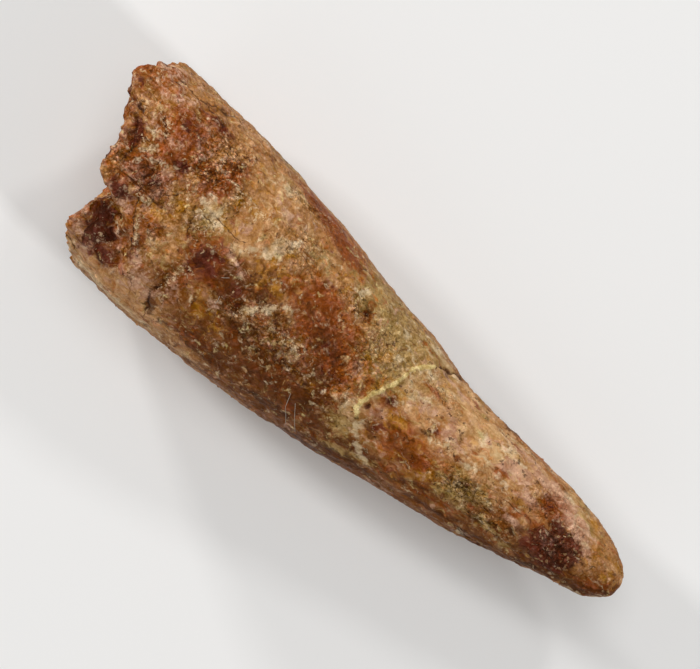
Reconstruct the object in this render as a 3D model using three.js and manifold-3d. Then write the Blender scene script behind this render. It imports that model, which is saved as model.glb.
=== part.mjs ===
// Fossil spinosaurus tooth, lying on its side as it was found: a slightly recurved cone of
// mineralised dentine, broken across at the base, worn round at the tip.
//
// Millimetres, +Z up. +X runs from the broken base to the tip, and the two side edges face +Y
// and -Y. The tooth is drawn with x = 0 at the furthest point of the broken rim, then moved so
// that the origin lies under the middle of its box, on the surface that it rests on.

import * as THREE from 'three';
import { mergeVertices } from 'three/addons/utils/BufferGeometryUtils.js';
import Module from 'manifold-3d';

const wasm = await Module();
wasm.setup();

// Driving dimensions.
const LENGTH = 84;
const NOSE_START = 78; // from here the worn tip rounds over
const RIM_REACH = 22; // how far the unevenness of the broken rim is carried into the rings

const SIDES = 56;
const BODY_RINGS = 40;
const NOSE_RINGS = 6;
const CAP_RINGS = 7;

// The four long profiles, as [distance from the base, coordinate]. Past NOSE_START they give the
// blunt tip before it is rounded.
const INNER_EDGE_Y = [
  [0, 12.3], [14, 11.95], [24, 11.4], [32, 10.2], [38, 9.15], [46, 8.15],
  [50, 7.65], [54, 6.95], [58, 6.25], [64, 5.95], [71, 5.75], [78, 4.75], [84, 4.0],
];
const OUTER_EDGE_Y = [
  [0, -14.1], [18, -14.8], [32, -13.95], [44, -12.15], [52, -10.6], [58, -9.5], [68, -7.1], [78, -4.1],
  [84, -3.6],
];
const BACK_Z = [
  [0, 23.8], [12, 24.0], [25, 23.1], [35, 21.5], [46, 19.7], [56, 18.3], [66, 17.4], [78, 16.8], [84, 16.5],
];
const BELLY_Z = [
  [0, 0.5], [8, -0.2], [18, -0.5], [32, -0.4], [40, 0.15], [48, 1.3], [57, 3.0], [66, 5.1], [78, 8.7],
  [84, 9.5],
];

// The broken rim: how far from x = 0 the break lies, by the angle round the tooth in degrees,
// counted from +Y through the upper side.
const BROKEN_RIM = [
  [0, 3.4], [20, 2.4], [45, 0], [55, 0.8], [70, 2.6], [85, 4.2], [93, 3.8], [104, 4.9], [110, 6.2],
  [118, 6.7], [135, 6.0], [150, 6.4], [165, 8.0], [180, 9.2], [205, 8.8], [230, 7.6], [255, 6.6],
  [275, 5.4], [300, 5.6], [325, 4.7], [345, 4.0], [360, 3.4],
];

// The pulp cavity, filled with matrix: its floor is sunk behind the broken dentine wall.
const WALL_INNER = 0.56; // share of the section's radius where the wall has ended
const WALL_OUTER = 0.74; // and where it still stands at its full height
const WALL_BEVEL = 1.0; // the wall's broken face slopes in by this much
const FLOOR_X = 7.2;
const FLOOR_TILT = -0.12; // the floor lies deeper on the -Y side
const FLOOR_LUMP = 0.45;

// The hollow in the upper wall beside the rim, where lumps of dentine have fallen out: the middle
// and the radii of each lump. The first one opens onto the rim.
const LOST_LUMPS = [
  [[7.0, -6.9, 23.2], [2.1, 1.5, 3.9]],
  [[9.4, -8.2, 22.2], [2.4, 2.2, 3.9]],
  [[10.0, -10.5, 21.2], [2.4, 1.9, 3.7]],
  [[11.9, -9.3, 21.7], [1.9, 1.6, 2.6]],
  [[12.6, -11.2, 20.8], [2.0, 1.5, 2.5]],
];
const LUMP_LEAN = 0.45; // radians, so that the lumps point straight into the curved wall

// The mended break across the crown: a low ledge on the inner edge's side, the tip side standing lower.
const MEND_X = 47.6;
const MEND_SLANT = 0.28; // the line leans towards the tip on the +Y side
const MEND_LEDGE = 0.35;
const MEND_RUN = 2.4;
const LEDGE_FADE = 14; // the ledge has worn away this far past the break

const DENTINE_COLOUR = 0x9c6a3a;
const DENTINE_ROUGHNESS = 0.62;

// A smooth curve through a list of [position, value] points.
function profile(points) {
  const positions = points.map((point) => point[0]);
  const values = points.map((point) => point[1]);
  const curve = new THREE.CubicInterpolant(positions, values, 1);
  return (position) => curve.evaluate(position)[0];
}

const innerEdge = profile(INNER_EDGE_Y);
const outerEdge = profile(OUTER_EDGE_Y);
const back = profile(BACK_Z);
const belly = profile(BELLY_Z);
const brokenRim = profile(BROKEN_RIM);

// The round-over of the worn tip: 1 along the body, falling to 0 at the end as a quarter circle.
function noseShare(x) {
  const past = Math.max(0, (x - NOSE_START) / (LENGTH - NOSE_START));
  return Math.sqrt(Math.max(0, 1 - past * past));
}

// How far the surface drops past the mended break. It is deepest facing +Y, and none facing -Y.
function mendDrop(x, y, angle) {
  const past = x - MEND_X - MEND_SLANT * y;
  const rise = THREE.MathUtils.smoothstep(past, 0, MEND_RUN);
  const fade = 1 - THREE.MathUtils.smoothstep(past, MEND_RUN, LEDGE_FADE);
  const facing = (1 + Math.cos(angle)) / 2;
  return MEND_LEDGE * rise * fade * facing;
}

// A point of the section at x: angle round the tooth, and share of the radius from its middle.
function sectionPoint(x, angle, share) {
  const centreY = (innerEdge(x) + outerEdge(x)) / 2;
  const centreZ = (back(x) + belly(x)) / 2;
  const halfWidth = (innerEdge(x) - outerEdge(x)) / 2;
  const halfHeight = (back(x) - belly(x)) / 2;
  const drop = mendDrop(x, centreY + halfWidth * Math.cos(angle), angle);
  const reach = share * noseShare(x);
  const y = centreY + (halfWidth - drop) * reach * Math.cos(angle);
  const z = centreZ + (halfHeight - drop) * reach * Math.sin(angle);
  return new THREE.Vector3(x, y, z);
}

// The broken face at a share of the radius: the rim outside, the matrix floor inside.
function brokenFaceX(angle, share) {
  const y = share * 13 * Math.cos(angle);
  const lump = FLOOR_LUMP * Math.sin(3 * angle + 0.8) * share;
  const floor = FLOOR_X + FLOOR_TILT * y + lump;
  const wall = brokenRim(THREE.MathUtils.radToDeg(angle)) + WALL_BEVEL * (1 - share);
  const wallShare = THREE.MathUtils.smoothstep(share, WALL_INNER, WALL_OUTER);
  return THREE.MathUtils.lerp(floor, wall, wallShare);
}

// One closed ring of points, with x and the share of the radius given for each angle.
function ring(placeAt) {
  const points = [];
  for (let side = 0; side < SIDES; side += 1) {
    const angle = (side / SIDES) * 2 * Math.PI;
    const { x, share } = placeAt(angle);
    points.push(sectionPoint(x, angle, share));
  }
  return points;
}

function capRings() {
  const rings = [];
  for (let step = 1; step < CAP_RINGS; step += 1) {
    const share = step / CAP_RINGS;
    rings.push(ring((angle) => ({ x: brokenFaceX(angle, share), share })));
  }
  return rings;
}

function bodyRings() {
  const rings = [];
  for (let step = 0; step < BODY_RINGS; step += 1) {
    const along = (step / BODY_RINGS) * NOSE_START;
    const rimShare = Math.max(0, 1 - along / RIM_REACH) ** 2;
    rings.push(ring((angle) => {
      const x = along + brokenRim(THREE.MathUtils.radToDeg(angle)) * rimShare;
      return { x, share: 1 };
    }));
  }
  return rings;
}

function noseRings() {
  const rings = [];
  for (let step = 0; step < NOSE_RINGS; step += 1) {
    const x = NOSE_START + (LENGTH - NOSE_START) * Math.sin((step / NOSE_RINGS) * (Math.PI / 2));
    rings.push(ring(() => ({ x, share: 1 })));
  }
  return rings;
}

// Skins a stack of rings, with a middle point at each end.
function skin(rings, firstPoint, lastPoint) {
  const positions = [firstPoint, ...rings.flat(), lastPoint].flatMap((point) => point.toArray());
  const last = rings.length * SIDES + 1;
  const at = (level, side) => 1 + level * SIDES + (side % SIDES);
  const faces = [];
  for (let side = 0; side < SIDES; side += 1) {
    faces.push(0, at(0, side + 1), at(0, side));
    faces.push(last, at(rings.length - 1, side), at(rings.length - 1, side + 1));
    for (let level = 0; level + 1 < rings.length; level += 1) {
      faces.push(at(level, side), at(level, side + 1), at(level + 1, side + 1));
      faces.push(at(level, side), at(level + 1, side + 1), at(level + 1, side));
    }
  }
  const geometry = new THREE.BufferGeometry();
  geometry.setAttribute('position', new THREE.Float32BufferAttribute(positions, 3));
  geometry.setIndex(faces);
  return geometry;
}

function toSolid(geometry) {
  const bare = geometry.clone();
  bare.deleteAttribute('normal');
  bare.deleteAttribute('uv');
  const merged = mergeVertices(bare, 1e-4);
  const vertProperties = new Float32Array(merged.attributes.position.array);
  const triVerts = new Uint32Array(merged.index.array);
  return new wasm.Manifold(new wasm.Mesh({ numProp: 3, vertProperties, triVerts }));
}

function toGeometry(solid) {
  const { vertProperties, triVerts } = solid.getMesh();
  const geometry = new THREE.BufferGeometry();
  geometry.setAttribute('position', new THREE.BufferAttribute(vertProperties, 3));
  geometry.setIndex(new THREE.BufferAttribute(triVerts, 1));
  geometry.computeVertexNormals();
  return geometry;
}

// A lump missing from the wall, as an egg shape that leans towards the outer edge.
function lostLump([centre, radii]) {
  const geometry = new THREE.SphereGeometry(1, 16, 10);
  geometry.scale(...radii);
  geometry.rotateX(LUMP_LEAN);
  geometry.translate(...centre);
  return toSolid(geometry);
}

// What lies below the resting surface. Taking it off leaves the flat worn strip on the underside.
function belowSurface() {
  const depth = 5;
  const geometry = new THREE.BoxGeometry(LENGTH * 2, LENGTH, depth);
  geometry.translate(LENGTH / 2, 0, -depth / 2);
  return toSolid(geometry);
}

function toothGeometry() {
  const middleX = brokenFaceX(0, 0);
  const rings = [...capRings(), ...bodyRings(), ...noseRings()];
  const outside = skin(rings, sectionPoint(middleX, 0, 0), sectionPoint(LENGTH, 0, 0));
  const hole = LOST_LUMPS.map(lostLump).reduce((joined, lump) => joined.add(lump));
  return toGeometry(toSolid(outside).subtract(hole).subtract(belowSurface()));
}

const dentine = new THREE.MeshStandardMaterial({
  color: DENTINE_COLOUR,
  roughness: DENTINE_ROUGHNESS,
  metalness: 0,
});

const geometry = toothGeometry();
geometry.computeBoundingBox();
const middle = geometry.boundingBox.getCenter(new THREE.Vector3());

const tooth = new THREE.Mesh(geometry, dentine);
tooth.name = 'tooth';
tooth.position.set(-middle.x, -middle.y, 0);

const fossil = new THREE.Group();
fossil.add(tooth);

export default fossil;
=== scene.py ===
# %% [markdown]
# # A fossil tooth
# The frame holds the tooth as a plain faceted solid of the right size. This lesson gives it the
# surface of the real thing: dentine turned to stone, stained by iron, crusted with sand, broken at
# the base, mended across the crown and worn round at the tip.
#
# The work goes from large to small. First a fine mesh is grown from the solid, then it is carved,
# then stains are painted on its points as soft fields, and the material breaks those fields up into
# crisp mottling. Last come loose things: sand grains, a few lint fibres, and the studio.

from types import SimpleNamespace

import bmesh
import bpy
import numpy as np
from mathutils import Matrix, Vector, noise


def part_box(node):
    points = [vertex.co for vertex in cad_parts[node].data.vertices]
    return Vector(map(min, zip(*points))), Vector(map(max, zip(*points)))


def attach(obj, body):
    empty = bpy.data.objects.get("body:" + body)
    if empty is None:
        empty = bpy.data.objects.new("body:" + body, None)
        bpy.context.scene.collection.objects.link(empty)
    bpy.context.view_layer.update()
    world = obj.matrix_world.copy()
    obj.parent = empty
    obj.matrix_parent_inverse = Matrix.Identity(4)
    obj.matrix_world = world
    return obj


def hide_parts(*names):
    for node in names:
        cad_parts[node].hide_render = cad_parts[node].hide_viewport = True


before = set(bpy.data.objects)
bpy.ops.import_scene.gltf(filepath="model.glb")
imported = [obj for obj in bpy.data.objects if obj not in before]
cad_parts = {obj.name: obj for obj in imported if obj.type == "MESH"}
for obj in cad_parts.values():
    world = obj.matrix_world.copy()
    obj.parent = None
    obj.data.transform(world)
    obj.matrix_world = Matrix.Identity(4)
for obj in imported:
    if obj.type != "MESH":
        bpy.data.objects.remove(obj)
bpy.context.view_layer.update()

# %% [markdown]
# ## Places on the tooth
# Everything is placed by two distances in millimetres, as a person would with a ruler laid on the
# tooth: how far along from the broken base, and how far across from the line through the tip. A
# long part of the work is done with arrays of points, so the helpers take and give numpy arrays.

# %% A ruler on the tooth
MM = 0.001
TIP_LINE = 1.25  # mm from the middle of the tooth's box to the line through the tip, along +Y

box_low, box_high = [Vector(corner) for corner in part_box("tooth")]
LENGTH = (box_high.x - box_low.x) / MM


def ruler(points):
    """Points in metres, as millimetres along, across and up."""
    return (points - np.array([box_low.x, 0, 0])) / MM - np.array([0, TIP_LINE, 0])


def from_ruler(places):
    """Millimetres along, across and up, as points in metres."""
    return (places + np.array([0, TIP_LINE, 0])) * MM + np.array([box_low.x, 0, 0])


print("the tooth is", round(LENGTH, 1), "mm long")

# %% [markdown]
# ## A fine skin
# A scan of a real fossil has points all over it at one even spacing. A voxel remesh gives the same
# kind of mesh from the solid: it forgets the long thin facets and lays down even squares. A few
# rounds of smoothing take the facets' edges out of it, and one level of subdivision brings the
# spacing to about a quarter of a millimetre, which is the size of a sand grain. The modifiers are
# applied by copying the evaluated result, so the piece is a plain mesh that can be carved.

# %% Grow the skin
VOXEL = 0.55 * MM
SMOOTH_ROUNDS = 4
WELD = 0.001 * MM  # points nearer than this are one point


def new_object(name, data):
    """An object in the scene, at the origin."""
    made = bpy.data.objects.new(name, data)
    bpy.context.scene.collection.objects.link(made)
    return made


def merged_copy(node, name):
    """A new object with a copy of a CAD node's mesh, its loose triangles joined up."""
    mesh = node.data.copy()
    mesh.materials.clear()
    work = bmesh.new()
    work.from_mesh(mesh)
    bmesh.ops.remove_doubles(work, verts=work.verts, dist=WELD)
    work.to_mesh(mesh)
    work.free()
    return new_object(name, mesh)


def plain_mesh(made):
    """What an object looks like with its modifiers or its bevel, as a mesh of its own."""
    evaluated = made.evaluated_get(bpy.context.evaluated_depsgraph_get())
    return bpy.data.meshes.new_from_object(evaluated)


def apply_modifiers(piece):
    """Replaces a piece's mesh by what its modifiers make of it."""
    result = plain_mesh(piece)
    piece.modifiers.clear()
    piece.data = result
    result.name = piece.name


tooth = merged_copy(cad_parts["tooth"], "fossil_tooth")
remesh = tooth.modifiers.new("even squares", "REMESH")
remesh.mode = "VOXEL"
remesh.voxel_size = VOXEL
relax = tooth.modifiers.new("soften facets", "SMOOTH")
relax.iterations = SMOOTH_ROUNDS
finer = tooth.modifiers.new("finer", "SUBSURF")
finer.levels = 1
finer.render_levels = 1
apply_modifiers(tooth)
print("the skin has", len(tooth.data.polygons) * 2, "triangles")

# %% [markdown]
# ## Reading the shape
# To carve along and round the tooth, each point needs to know where it is: its angle round the
# middle line, and whether it is on the side or on the broken end face. The middle line is measured
# from the mesh itself, in slices, so nothing here repeats the solid's dimensions.

# %% Angles and the middle line
FIRST_WHOLE_SLICE = 11  # mm; nearer the base the jagged rim leaves gaps in a slice
SLICE = 1.0  # mm from slice to slice


def read_points(piece, kind="co"):
    """A mesh's points, or their normals with kind "normal", as an array of rows."""
    source = piece.data.vertices if kind == "co" else piece.data.vertex_normals
    values = np.empty(len(source) * 3)
    source.foreach_get(kind if kind == "co" else "vector", values)
    return values.reshape(-1, 3)


def write_points(piece, points):
    piece.data.vertices.foreach_set("co", points.ravel())
    piece.data.update()


def middle_line(places):
    """Slices along the tooth: their place, middle across and up, half width and half height."""
    rows = []
    for along in np.arange(FIRST_WHOLE_SLICE, LENGTH - SLICE / 2, SLICE):
        cut = places[np.abs(places[:, 0] - along) < SLICE / 2]
        low, high = cut.min(axis=0), cut.max(axis=0)
        rows.append([along, *(low + high)[1:] / 2, *(high - low)[1:] / 2])
    return np.array(rows).T


def slice_at(along):
    """Middle across, middle up, half width and half height at these distances along."""
    return [np.interp(along, slices[0], row) for row in slices[1:]]


def smoothstep(value, start, end):
    share = np.clip((value - start) / (end - start), 0, 1)
    return share * share * (3 - 2 * share)


def round_the_tooth(places):
    """Each point's angle from straight up, positive towards +Y, and its share of the radius."""
    mid_y, mid_z, half_width, half_height = slice_at(places[:, 0])
    side = (places[:, 1] - mid_y) / half_width
    up = (places[:, 2] - mid_z) / half_height
    return np.arctan2(side, up), np.hypot(side, up)


places = ruler(read_points(tooth))
slices = middle_line(places)
angle, radius_share = round_the_tooth(places)
print("widest half width:", round(slices[3].max(), 2), "mm")

# %% [markdown]
# ## The hollow by the rim
# Lumps of dentine have fallen out beside the rim, and the solid's hollow is made of egg shapes with
# sharp ridges between them. In the tooth it is one worn hollow, so its inside is relaxed again. A
# vertex group tells the Smooth modifier where, and it leaves the hollow's edge as it is.

# %% Relax the inside of the hollow
HOLLOW = (9.8, -9.2, 4.6, 4.4)  # along, across, half length, half breadth
HOLLOW_ROUNDS = 25


def hollow_depth(places, radius_share):
    """0 outside the hollow and on its edge, rising to 1 inside it."""
    along, across, half_length, half_breadth = HOLLOW
    reach = np.hypot((places[:, 0] - along) / half_length, (places[:, 1] - across) / half_breadth)
    below = (radius_share < 0.97) & (places[:, 2] > slice_at(places[:, 0])[1])
    return below * (1 - smoothstep(reach, 0.9, 1.15)) * smoothstep(1 - radius_share, 0.03, 0.1)


inside = hollow_depth(places, radius_share) * (read_points(tooth, "normal")[:, 0] > -0.5)
weights = tooth.vertex_groups.new(name="hollow")
for index in np.flatnonzero(inside > 0.05):
    weights.add([int(index)], float(inside[index]), "REPLACE")
relax = tooth.modifiers.new("relax the hollow", "SMOOTH")
relax.vertex_group = "hollow"
relax.iterations = HOLLOW_ROUNDS
apply_modifiers(tooth)
places = ruler(read_points(tooth))
angle, radius_share = round_the_tooth(places)
print("points in the hollow:", int((inside > 0.05).sum()))

# %% [markdown]
# ## Noise as a carving tool
# Weathering has no edges that a person could draw, so it is carved with noise. `clouds` gives soft
# lumps, about -1 to 1 for every point: `size` is the size of the largest ones in millimetres, and
# `stretch` makes them longer along the tooth, as its fibres are. `cracks` and `flakes` divide the
# space into cells, and give the borders between them, or one height by lot for each.

# %% Noise helpers
SEED_STEP = 31.7  # how far apart two seeds look in the same endless noise
LOT_NUMBERS = np.array([519.6, 3129.2, 1508.8])  # large, so that near cells draw unlike numbers


def clouds(places, size, octaves=3, seed=0, stretch=1.0):
    scaled = places / size / np.array([stretch, 1.0, 1.0]) + seed * SEED_STEP
    return np.array([noise.fractal(Vector(spot), 1.0, 2.0, octaves) for spot in scaled])


def cracks(places, size, seed=0):
    """0 on the borders between cells of about that size, rising to 1 inside them."""
    gaps = []
    for spot in places / size + seed * SEED_STEP:
        distances = noise.voronoi(Vector(spot))[0]
        gaps.append(distances[1] - distances[0])
    return np.clip(np.array(gaps) * 3, 0, 1)


def flakes(places, size, seed=0):
    """One number by lot, -1 to 1, for each cell of about that size."""
    scaled = places / size + seed * SEED_STEP
    middles = np.array([noise.voronoi(Vector(spot))[1][0][:] for spot in scaled])
    return np.sin(middles @ LOT_NUMBERS)


print("clouds at the first point:", round(clouds(places[:1], 3)[0], 3))

# %% [markdown]
# ## Patches
# A patch is an ellipse laid on the tooth: how far along and across its middle is, its half length
# and half width, how far it is turned in degrees, and how strong it is. Its value is its strength
# in the middle and half of that at its rim, and it wraps round the tooth, so that one placed near
# an edge bends down over the side. The same patches serve for carving and for staining.

# %% Laying a patch on the tooth
SIDE_LIMIT = 0.995  # how near to the very side a patch's middle may lie, as a share


def patch_value(patch, ahead, aside):
    """A patch's value at points so far ahead of its middle, and aside from it."""
    _, _, half_length, half_breadth, turn, strength = patch
    cos, sin = np.cos(np.radians(turn)), np.sin(np.radians(turn))
    lengthwise = (ahead * cos + aside * sin) / half_length
    crosswise = (aside * cos - ahead * sin) / half_breadth
    return strength * np.exp2(-(np.hypot(lengthwise, crosswise) ** 2))


def lay_patches(patches, places, angle):
    """The strongest of these patches at each point."""
    _, _, half_width, half_height = slice_at(places[:, 0])
    girth = (half_width + half_height) / 2
    field = np.zeros(len(places))
    for patch in patches:
        along, across = patch[:2]
        patch_mid, _, patch_half, _ = slice_at(along)
        patch_angle = np.arcsin(np.clip((across - patch_mid) / patch_half, -SIDE_LIMIT, SIDE_LIMIT))
        aside = ((angle - patch_angle + np.pi) % (2 * np.pi) - np.pi) * girth
        field = np.maximum(field, patch_value(patch, places[:, 0] - along, aside))
    return field


def lay_all_round(above, below):
    """Patches above, and others on the underside."""
    return np.maximum(lay_patches(above, places, angle), lay_patches(below, places, np.pi - angle))


one = lay_patches([(40, 0, 5, 5, 0, 1)], places, angle)
print("a patch of 5 mm covers", int((one > 0.5).sum()), "points")

# %% [markdown]
# ## Lines
# A crack is narrower than the mesh's squares, so what is kept for each point is not the crack but
# the gap to it. The gap is a smooth number which the material can read between the points, and it
# changes its sign on the line, so that the line itself comes out as sharp as it is drawn.

# %% Laying a line on the tooth
NO_LINE = 1e3  # the gap where there is no line at all
GAP_LIMIT = 9  # gaps are kept up to this many widths


def line_gap(route, places):
    """Gap in mm, seen from above, to a line through these (along, across) points.

    It is below zero on the line's right."""
    best = np.full(len(places), NO_LINE)
    for start, end in zip(route[:-1], route[1:]):
        step = np.subtract(end, start)
        away = places[:, :2] - np.array(start)
        share = np.clip(away @ step / (step @ step), 0, 1)
        gap = np.linalg.norm(away - share[:, None] * step, axis=1)
        side = np.where(step[0] * away[:, 1] < step[1] * away[:, 0], -1, 1)
        best = np.where(gap < np.abs(best), side * gap, best)
    best[places[:, 2] < slice_at(places[:, 0])[1]] = NO_LINE
    return best


def nearest_gap(lines, places):
    """Gap to the nearest of these (route, width) lines, counted in the line's own widths."""
    best = np.full(len(places), NO_LINE)
    for route, width in lines:
        gap = line_gap(route, places) / width
        best = np.where(np.abs(gap) < np.abs(best), gap, best)
    return np.clip(best, -GAP_LIMIT, GAP_LIMIT)


def ridge(gap, width):
    """1 on a line, falling away on both sides of it."""
    return np.exp(-((gap / width) ** 2))


tip_line_gap = np.abs(line_gap([(0, 0), (LENGTH, 0)], places))
print("points within 0.1 mm of the tip's line:", int((tip_line_gap < 0.1).sum()))

# %% [markdown]
# ## Carving the weathering
# The root end has crumbled into flakes, the crown keeps the fine fibres of the dentine, and some
# places are crusted with sand that the ground cemented to them. First come the places.

# %% Sandy, flaky and fibrous places
SANDY = [
    (14.8, 6.2, 2.8, 3.4, 0, 1.5), (19.4, 4.4, 1.2, 2, 0, 1), (5.5, -1.2, 1.8, 2.4, 0, 0.8),
    (29, 4.8, 3.5, 2.6, 0, 0.7), (34, -5, 6, 2.8, 0, 0.8), (43.5, 2, 5, 5, 0, 0.6),
    (43, -4, 2.6, 4, 0, 0.6), (38.5, 4.5, 3, 1.6, 0, 0.8), (62.5, -3.2, 4, 1.8, 0, 0.9),
    (75.4, -0.8, 2.6, 2.6, 0, 1), (81, 0.8, 2.6, 2.8, 0, 0.4), (71, 2.4, 2, 2, 0, 0.7),
    (26, 9.6, 3, 1.2, 0, 0.8), (67.5, -4, 3, 1.4, 0, 0.7), (53, 3.5, 2.5, 1, 0, 0.5),
    (28, -5.8, 2.6, 1.6, 0, 0.8), (16, -1, 2, 1.4, 0, 0.6), (30, -10.5, 6, 2, 0, 0.2),
]
UNDER_SANDY = [
    (14, 4, 7, 6, 20, 1.1), (34, -3, 10, 6, -10, 1.2), (56, 2, 9, 5, 0, 1), (76, 0, 4, 4, 0, 0.9),
]
FLAKY = [
    (10.5, -1, 4, 3, 0, 1), (18, -1, 2.6, 2.8, 0, 0.7), (14.5, -5.5, 2.4, 2, 0, 0.8),
    (6.5, 3, 2.5, 2.5, 0, 0.7), (24, -1.5, 2.5, 1.5, 0, 0.5), (19.5, -8.5, 1.5, 4, 0, 0.6),
    (64.5, -4, 4, 1.6, 0, 0.6),
]
UNDER_FLAKY = [(10, 2, 6, 8, 0, 0.9), (60, -2, 6, 3, 0, 0.6)]
RUGGED_END = 27  # mm along, where the crumbled root has given way to whole dentine
CROWN_START = 47

sandiness = np.clip(lay_all_round(SANDY, UNDER_SANDY), 0, 1)
flakiness = np.clip(lay_all_round(FLAKY, UNDER_FLAKY), 0, 1)
ruggedness = 1 - smoothstep(places[:, 0], 10, RUGGED_END)
on_crown = smoothstep(places[:, 0], CROWN_START, CROWN_START + 4)
at_sides = np.sin(angle) ** 4
print("points under sand:", int((sandiness > 0.5).sum()))
print("points in flakes:", int((flakiness > 0.5).sum()))

# %% [markdown]
# Each kind of weathering is its own layer of noise, in millimetres of height, weighted by where it
# belongs. The sides are worn smoother than the top, so the coarse layers are lower there. The
# layers are added up here, and pushed out along the surface's own direction further down. A flake's
# border is made to wander by noise, or the cells would look like cut stones.

# %% Heights of the weathering
SWELL, WAVES, GRIT = 0.22, 0.11, 0.13  # mm, all over the tooth, from wide to fine
CRUMBLED, WORN_AT_SIDES = 0.34, 0.2  # mm of lumps at the base, and what the sides lost of them
GROOVE, FLAKE_STEP = 0.28, 0.15  # mm between flakes, and from a flake to the next
FIBRES, CRUST = 0.08, 0.16  # mm on the crown and on the sandy places

wander = np.stack([clouds(places, 1.3, seed=20 + axis) for axis in range(3)], axis=1)
big_flakes = flakes(places + 0.5 * wander, 2.3, seed=14)
small_flakes = flakes(places + 0.4 * wander, 1.3, seed=15)
flake_height = np.maximum(0.45 * ruggedness, flakiness) * big_flakes
flake_height += np.maximum(0.3 * ruggedness, 0.6 * flakiness) * small_flakes
lumps = CRUMBLED - WORN_AT_SIDES * at_sides
fine_relief = GRIT * clouds(places, 1.1, octaves=4, seed=3)

relief = SWELL * clouds(places, 9, octaves=2, seed=1)
relief += WAVES * clouds(places, 3.2, octaves=3, seed=2)
relief += ruggedness * lumps * clouds(places, 2.8, octaves=3, seed=4)
relief -= np.maximum(0.35 * ruggedness, flakiness) * GROOVE * (1 - cracks(places, 2.4, seed=5))
relief += FLAKE_STEP * (1 - 0.6 * at_sides) * flake_height
relief += on_crown * FIBRES * clouds(places, 1.2, octaves=3, seed=6, stretch=4)
relief += sandiness * CRUST * clouds(places, 0.9, octaves=2, seed=7)
relief += fine_relief
print("relief from", round(relief.min(), 2), "to", round(relief.max(), 2), "mm")

# %% [markdown]
# ## Cracks, chipped edges and pits
# These have a place of their own, so they are drawn: a crack is a line with a width and a depth, a
# flake's chipped edge is a line that only shows as pale crumbs, and a pit is a patch. The places
# are shaken by a little noise before the gaps are measured, so that no crack is a clean groove.

# %% Cracks and chipped edges
CRACKS = [  # (route, width, depth)
    ([(9.8, 1.4), (9.7, 0.4), (9.6, -0.6), (9.3, -1.8)], 0.15, 0.2),
    ([(10, -2.6), (10.7, -3.8), (11.3, -4.8), (12, -5.9), (13.2, -7.4), (14, -8.6)], 0.14, 0.2),
    ([(6.4, -2.5), (8, -2.4), (10, -2.4), (12, -2.6), (13.6, -2.3)], 0.13, 0.15),
    ([(3.4, 10.4), (6.5, 10.3), (8.6, 10.4), (10.8, 9.9), (12.5, 9.6)], 0.13, 0.1),
    ([(8.6, 10.4), (11, 11), (13.5, 11.4)], 0.15, 0.12),
    ([(14.2, 1), (13.6, -0.4), (13, -1)], 0.11, 0.1),
    ([(16.4, 0.4), (16.9, -0.6), (17.2, -1.8), (17.9, -2.8)], 0.13, 0.18),
    ([(17.6, 0.2), (18.8, 0.3), (19.8, -0.3)], 0.1, 0.1),
    ([(19.2, 1.1), (21.6, 0.9), (23.4, 1.1)], 0.1, 0.1),
    ([(1.7, 4.7), (3, 4.9), (4, 4.6)], 0.25, 0.5),
    ([(4.2, 3.5), (5.2, 2.2), (6.1, 1.2), (6.1, -1.2)], 0.2, 0.25),
    ([(7.2, -5), (8.6, -5.2), (9.4, -4.6)], 0.12, 0.12),
    ([(7, -12.8), (8.6, -13.1)], 0.25, 0.3),
    ([(14.8, -11), (16.6, -11.4), (17.4, -12.4)], 0.1, 0.08),
    ([(19.5, -9.6), (19.3, -10.8), (19.8, -11.8), (20.2, -13)], 0.22, 0.25),
    ([(6.6, 5.9), (7.3, 5), (8.4, 4.2)], 0.16, 0.2),
    ([(50.3, 6), (53, 6.45), (56.6, 6.4)], 0.2, 0.3),
    ([(63.4, -0.9), (66.3, -0.8), (68.6, -0.7), (71, -0.5)], 0.09, 0.1),
    ([(65.2, -7.3), (67.5, -7.1), (69.6, -6.6)], 0.22, 0.3),
]
CHIPPED_EDGES = [  # (route, width): the pale edges of broken flakes
    ([(12.5, -5.6), (13.3, -6.9), (13.9, -7.9)], 0.2),
    ([(19.7, -9.4), (19.9, -8.2), (20.3, -7.2)], 0.2),
    ([(19.7, -5.9), (20.8, -5.7), (21.7, -5.9)], 0.16),
    # A painted glint near the rim, drawn as pale crumbs.
    ([(6.8, 5.6), (7.6, 5.2), (8, 4.4)], 0.24),
    ([(18.6, 5.1), (21.2, 5), (23.8, 5.3)], 0.14),
    ([(19.2, 4.4), (21.4, 4.4), (23.4, 4.7)], 0.11),
    ([(10.3, -3), (11.3, -2.9), (12.3, -3.1)], 0.16),
    ([(6.2, 2.3), (7.2, 2.1), (8.2, 2.2)], 0.14),
    ([(12.6, 3.4), (13.4, 2.2), (14.4, 1.2)], 0.14),
    ([(17.2, 1.6), (18.4, 1.2), (19.4, 1.5)], 0.18),
    ([(17.6, -1.4), (18.6, -1.2), (19.6, -1.5)], 0.14),
    ([(10.2, -9.9), (11.1, -9.8)], 0.22),
    ([(29, -4.9), (29.8, -4), (30.6, -3.6)], 0.26),
    ([(30.6, -2.9), (31.6, -2), (32.8, -0.9)], 0.24),
    ([(34, -4.2), (35.4, -4.2), (36.6, -4.6)], 0.2),
    ([(36, -3.3), (37.4, -3.6)], 0.18),
    ([(39.6, -4.8), (40.2, -5.8)], 0.2),
    ([(62.6, 3.4), (64, 3.5)], 0.14),
    ([(3.4, 5.6), (4.4, 6.2), (5.4, 6)], 0.16),
]
LINE_SHAKE = 0.4  # mm

shaken = places + LINE_SHAKE * wander
crack_depth = np.zeros(len(places))
for route, width, depth in CRACKS:
    crack_depth = np.maximum(crack_depth, depth * ridge(line_gap(route, shaken), width))
crack_gap = nearest_gap([(route, width) for route, width, _ in CRACKS], shaken)
chipped_gap = nearest_gap(CHIPPED_EDGES, shaken)
print(len(CRACKS), "cracks and", len(CHIPPED_EDGES), "chipped edges")

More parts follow.
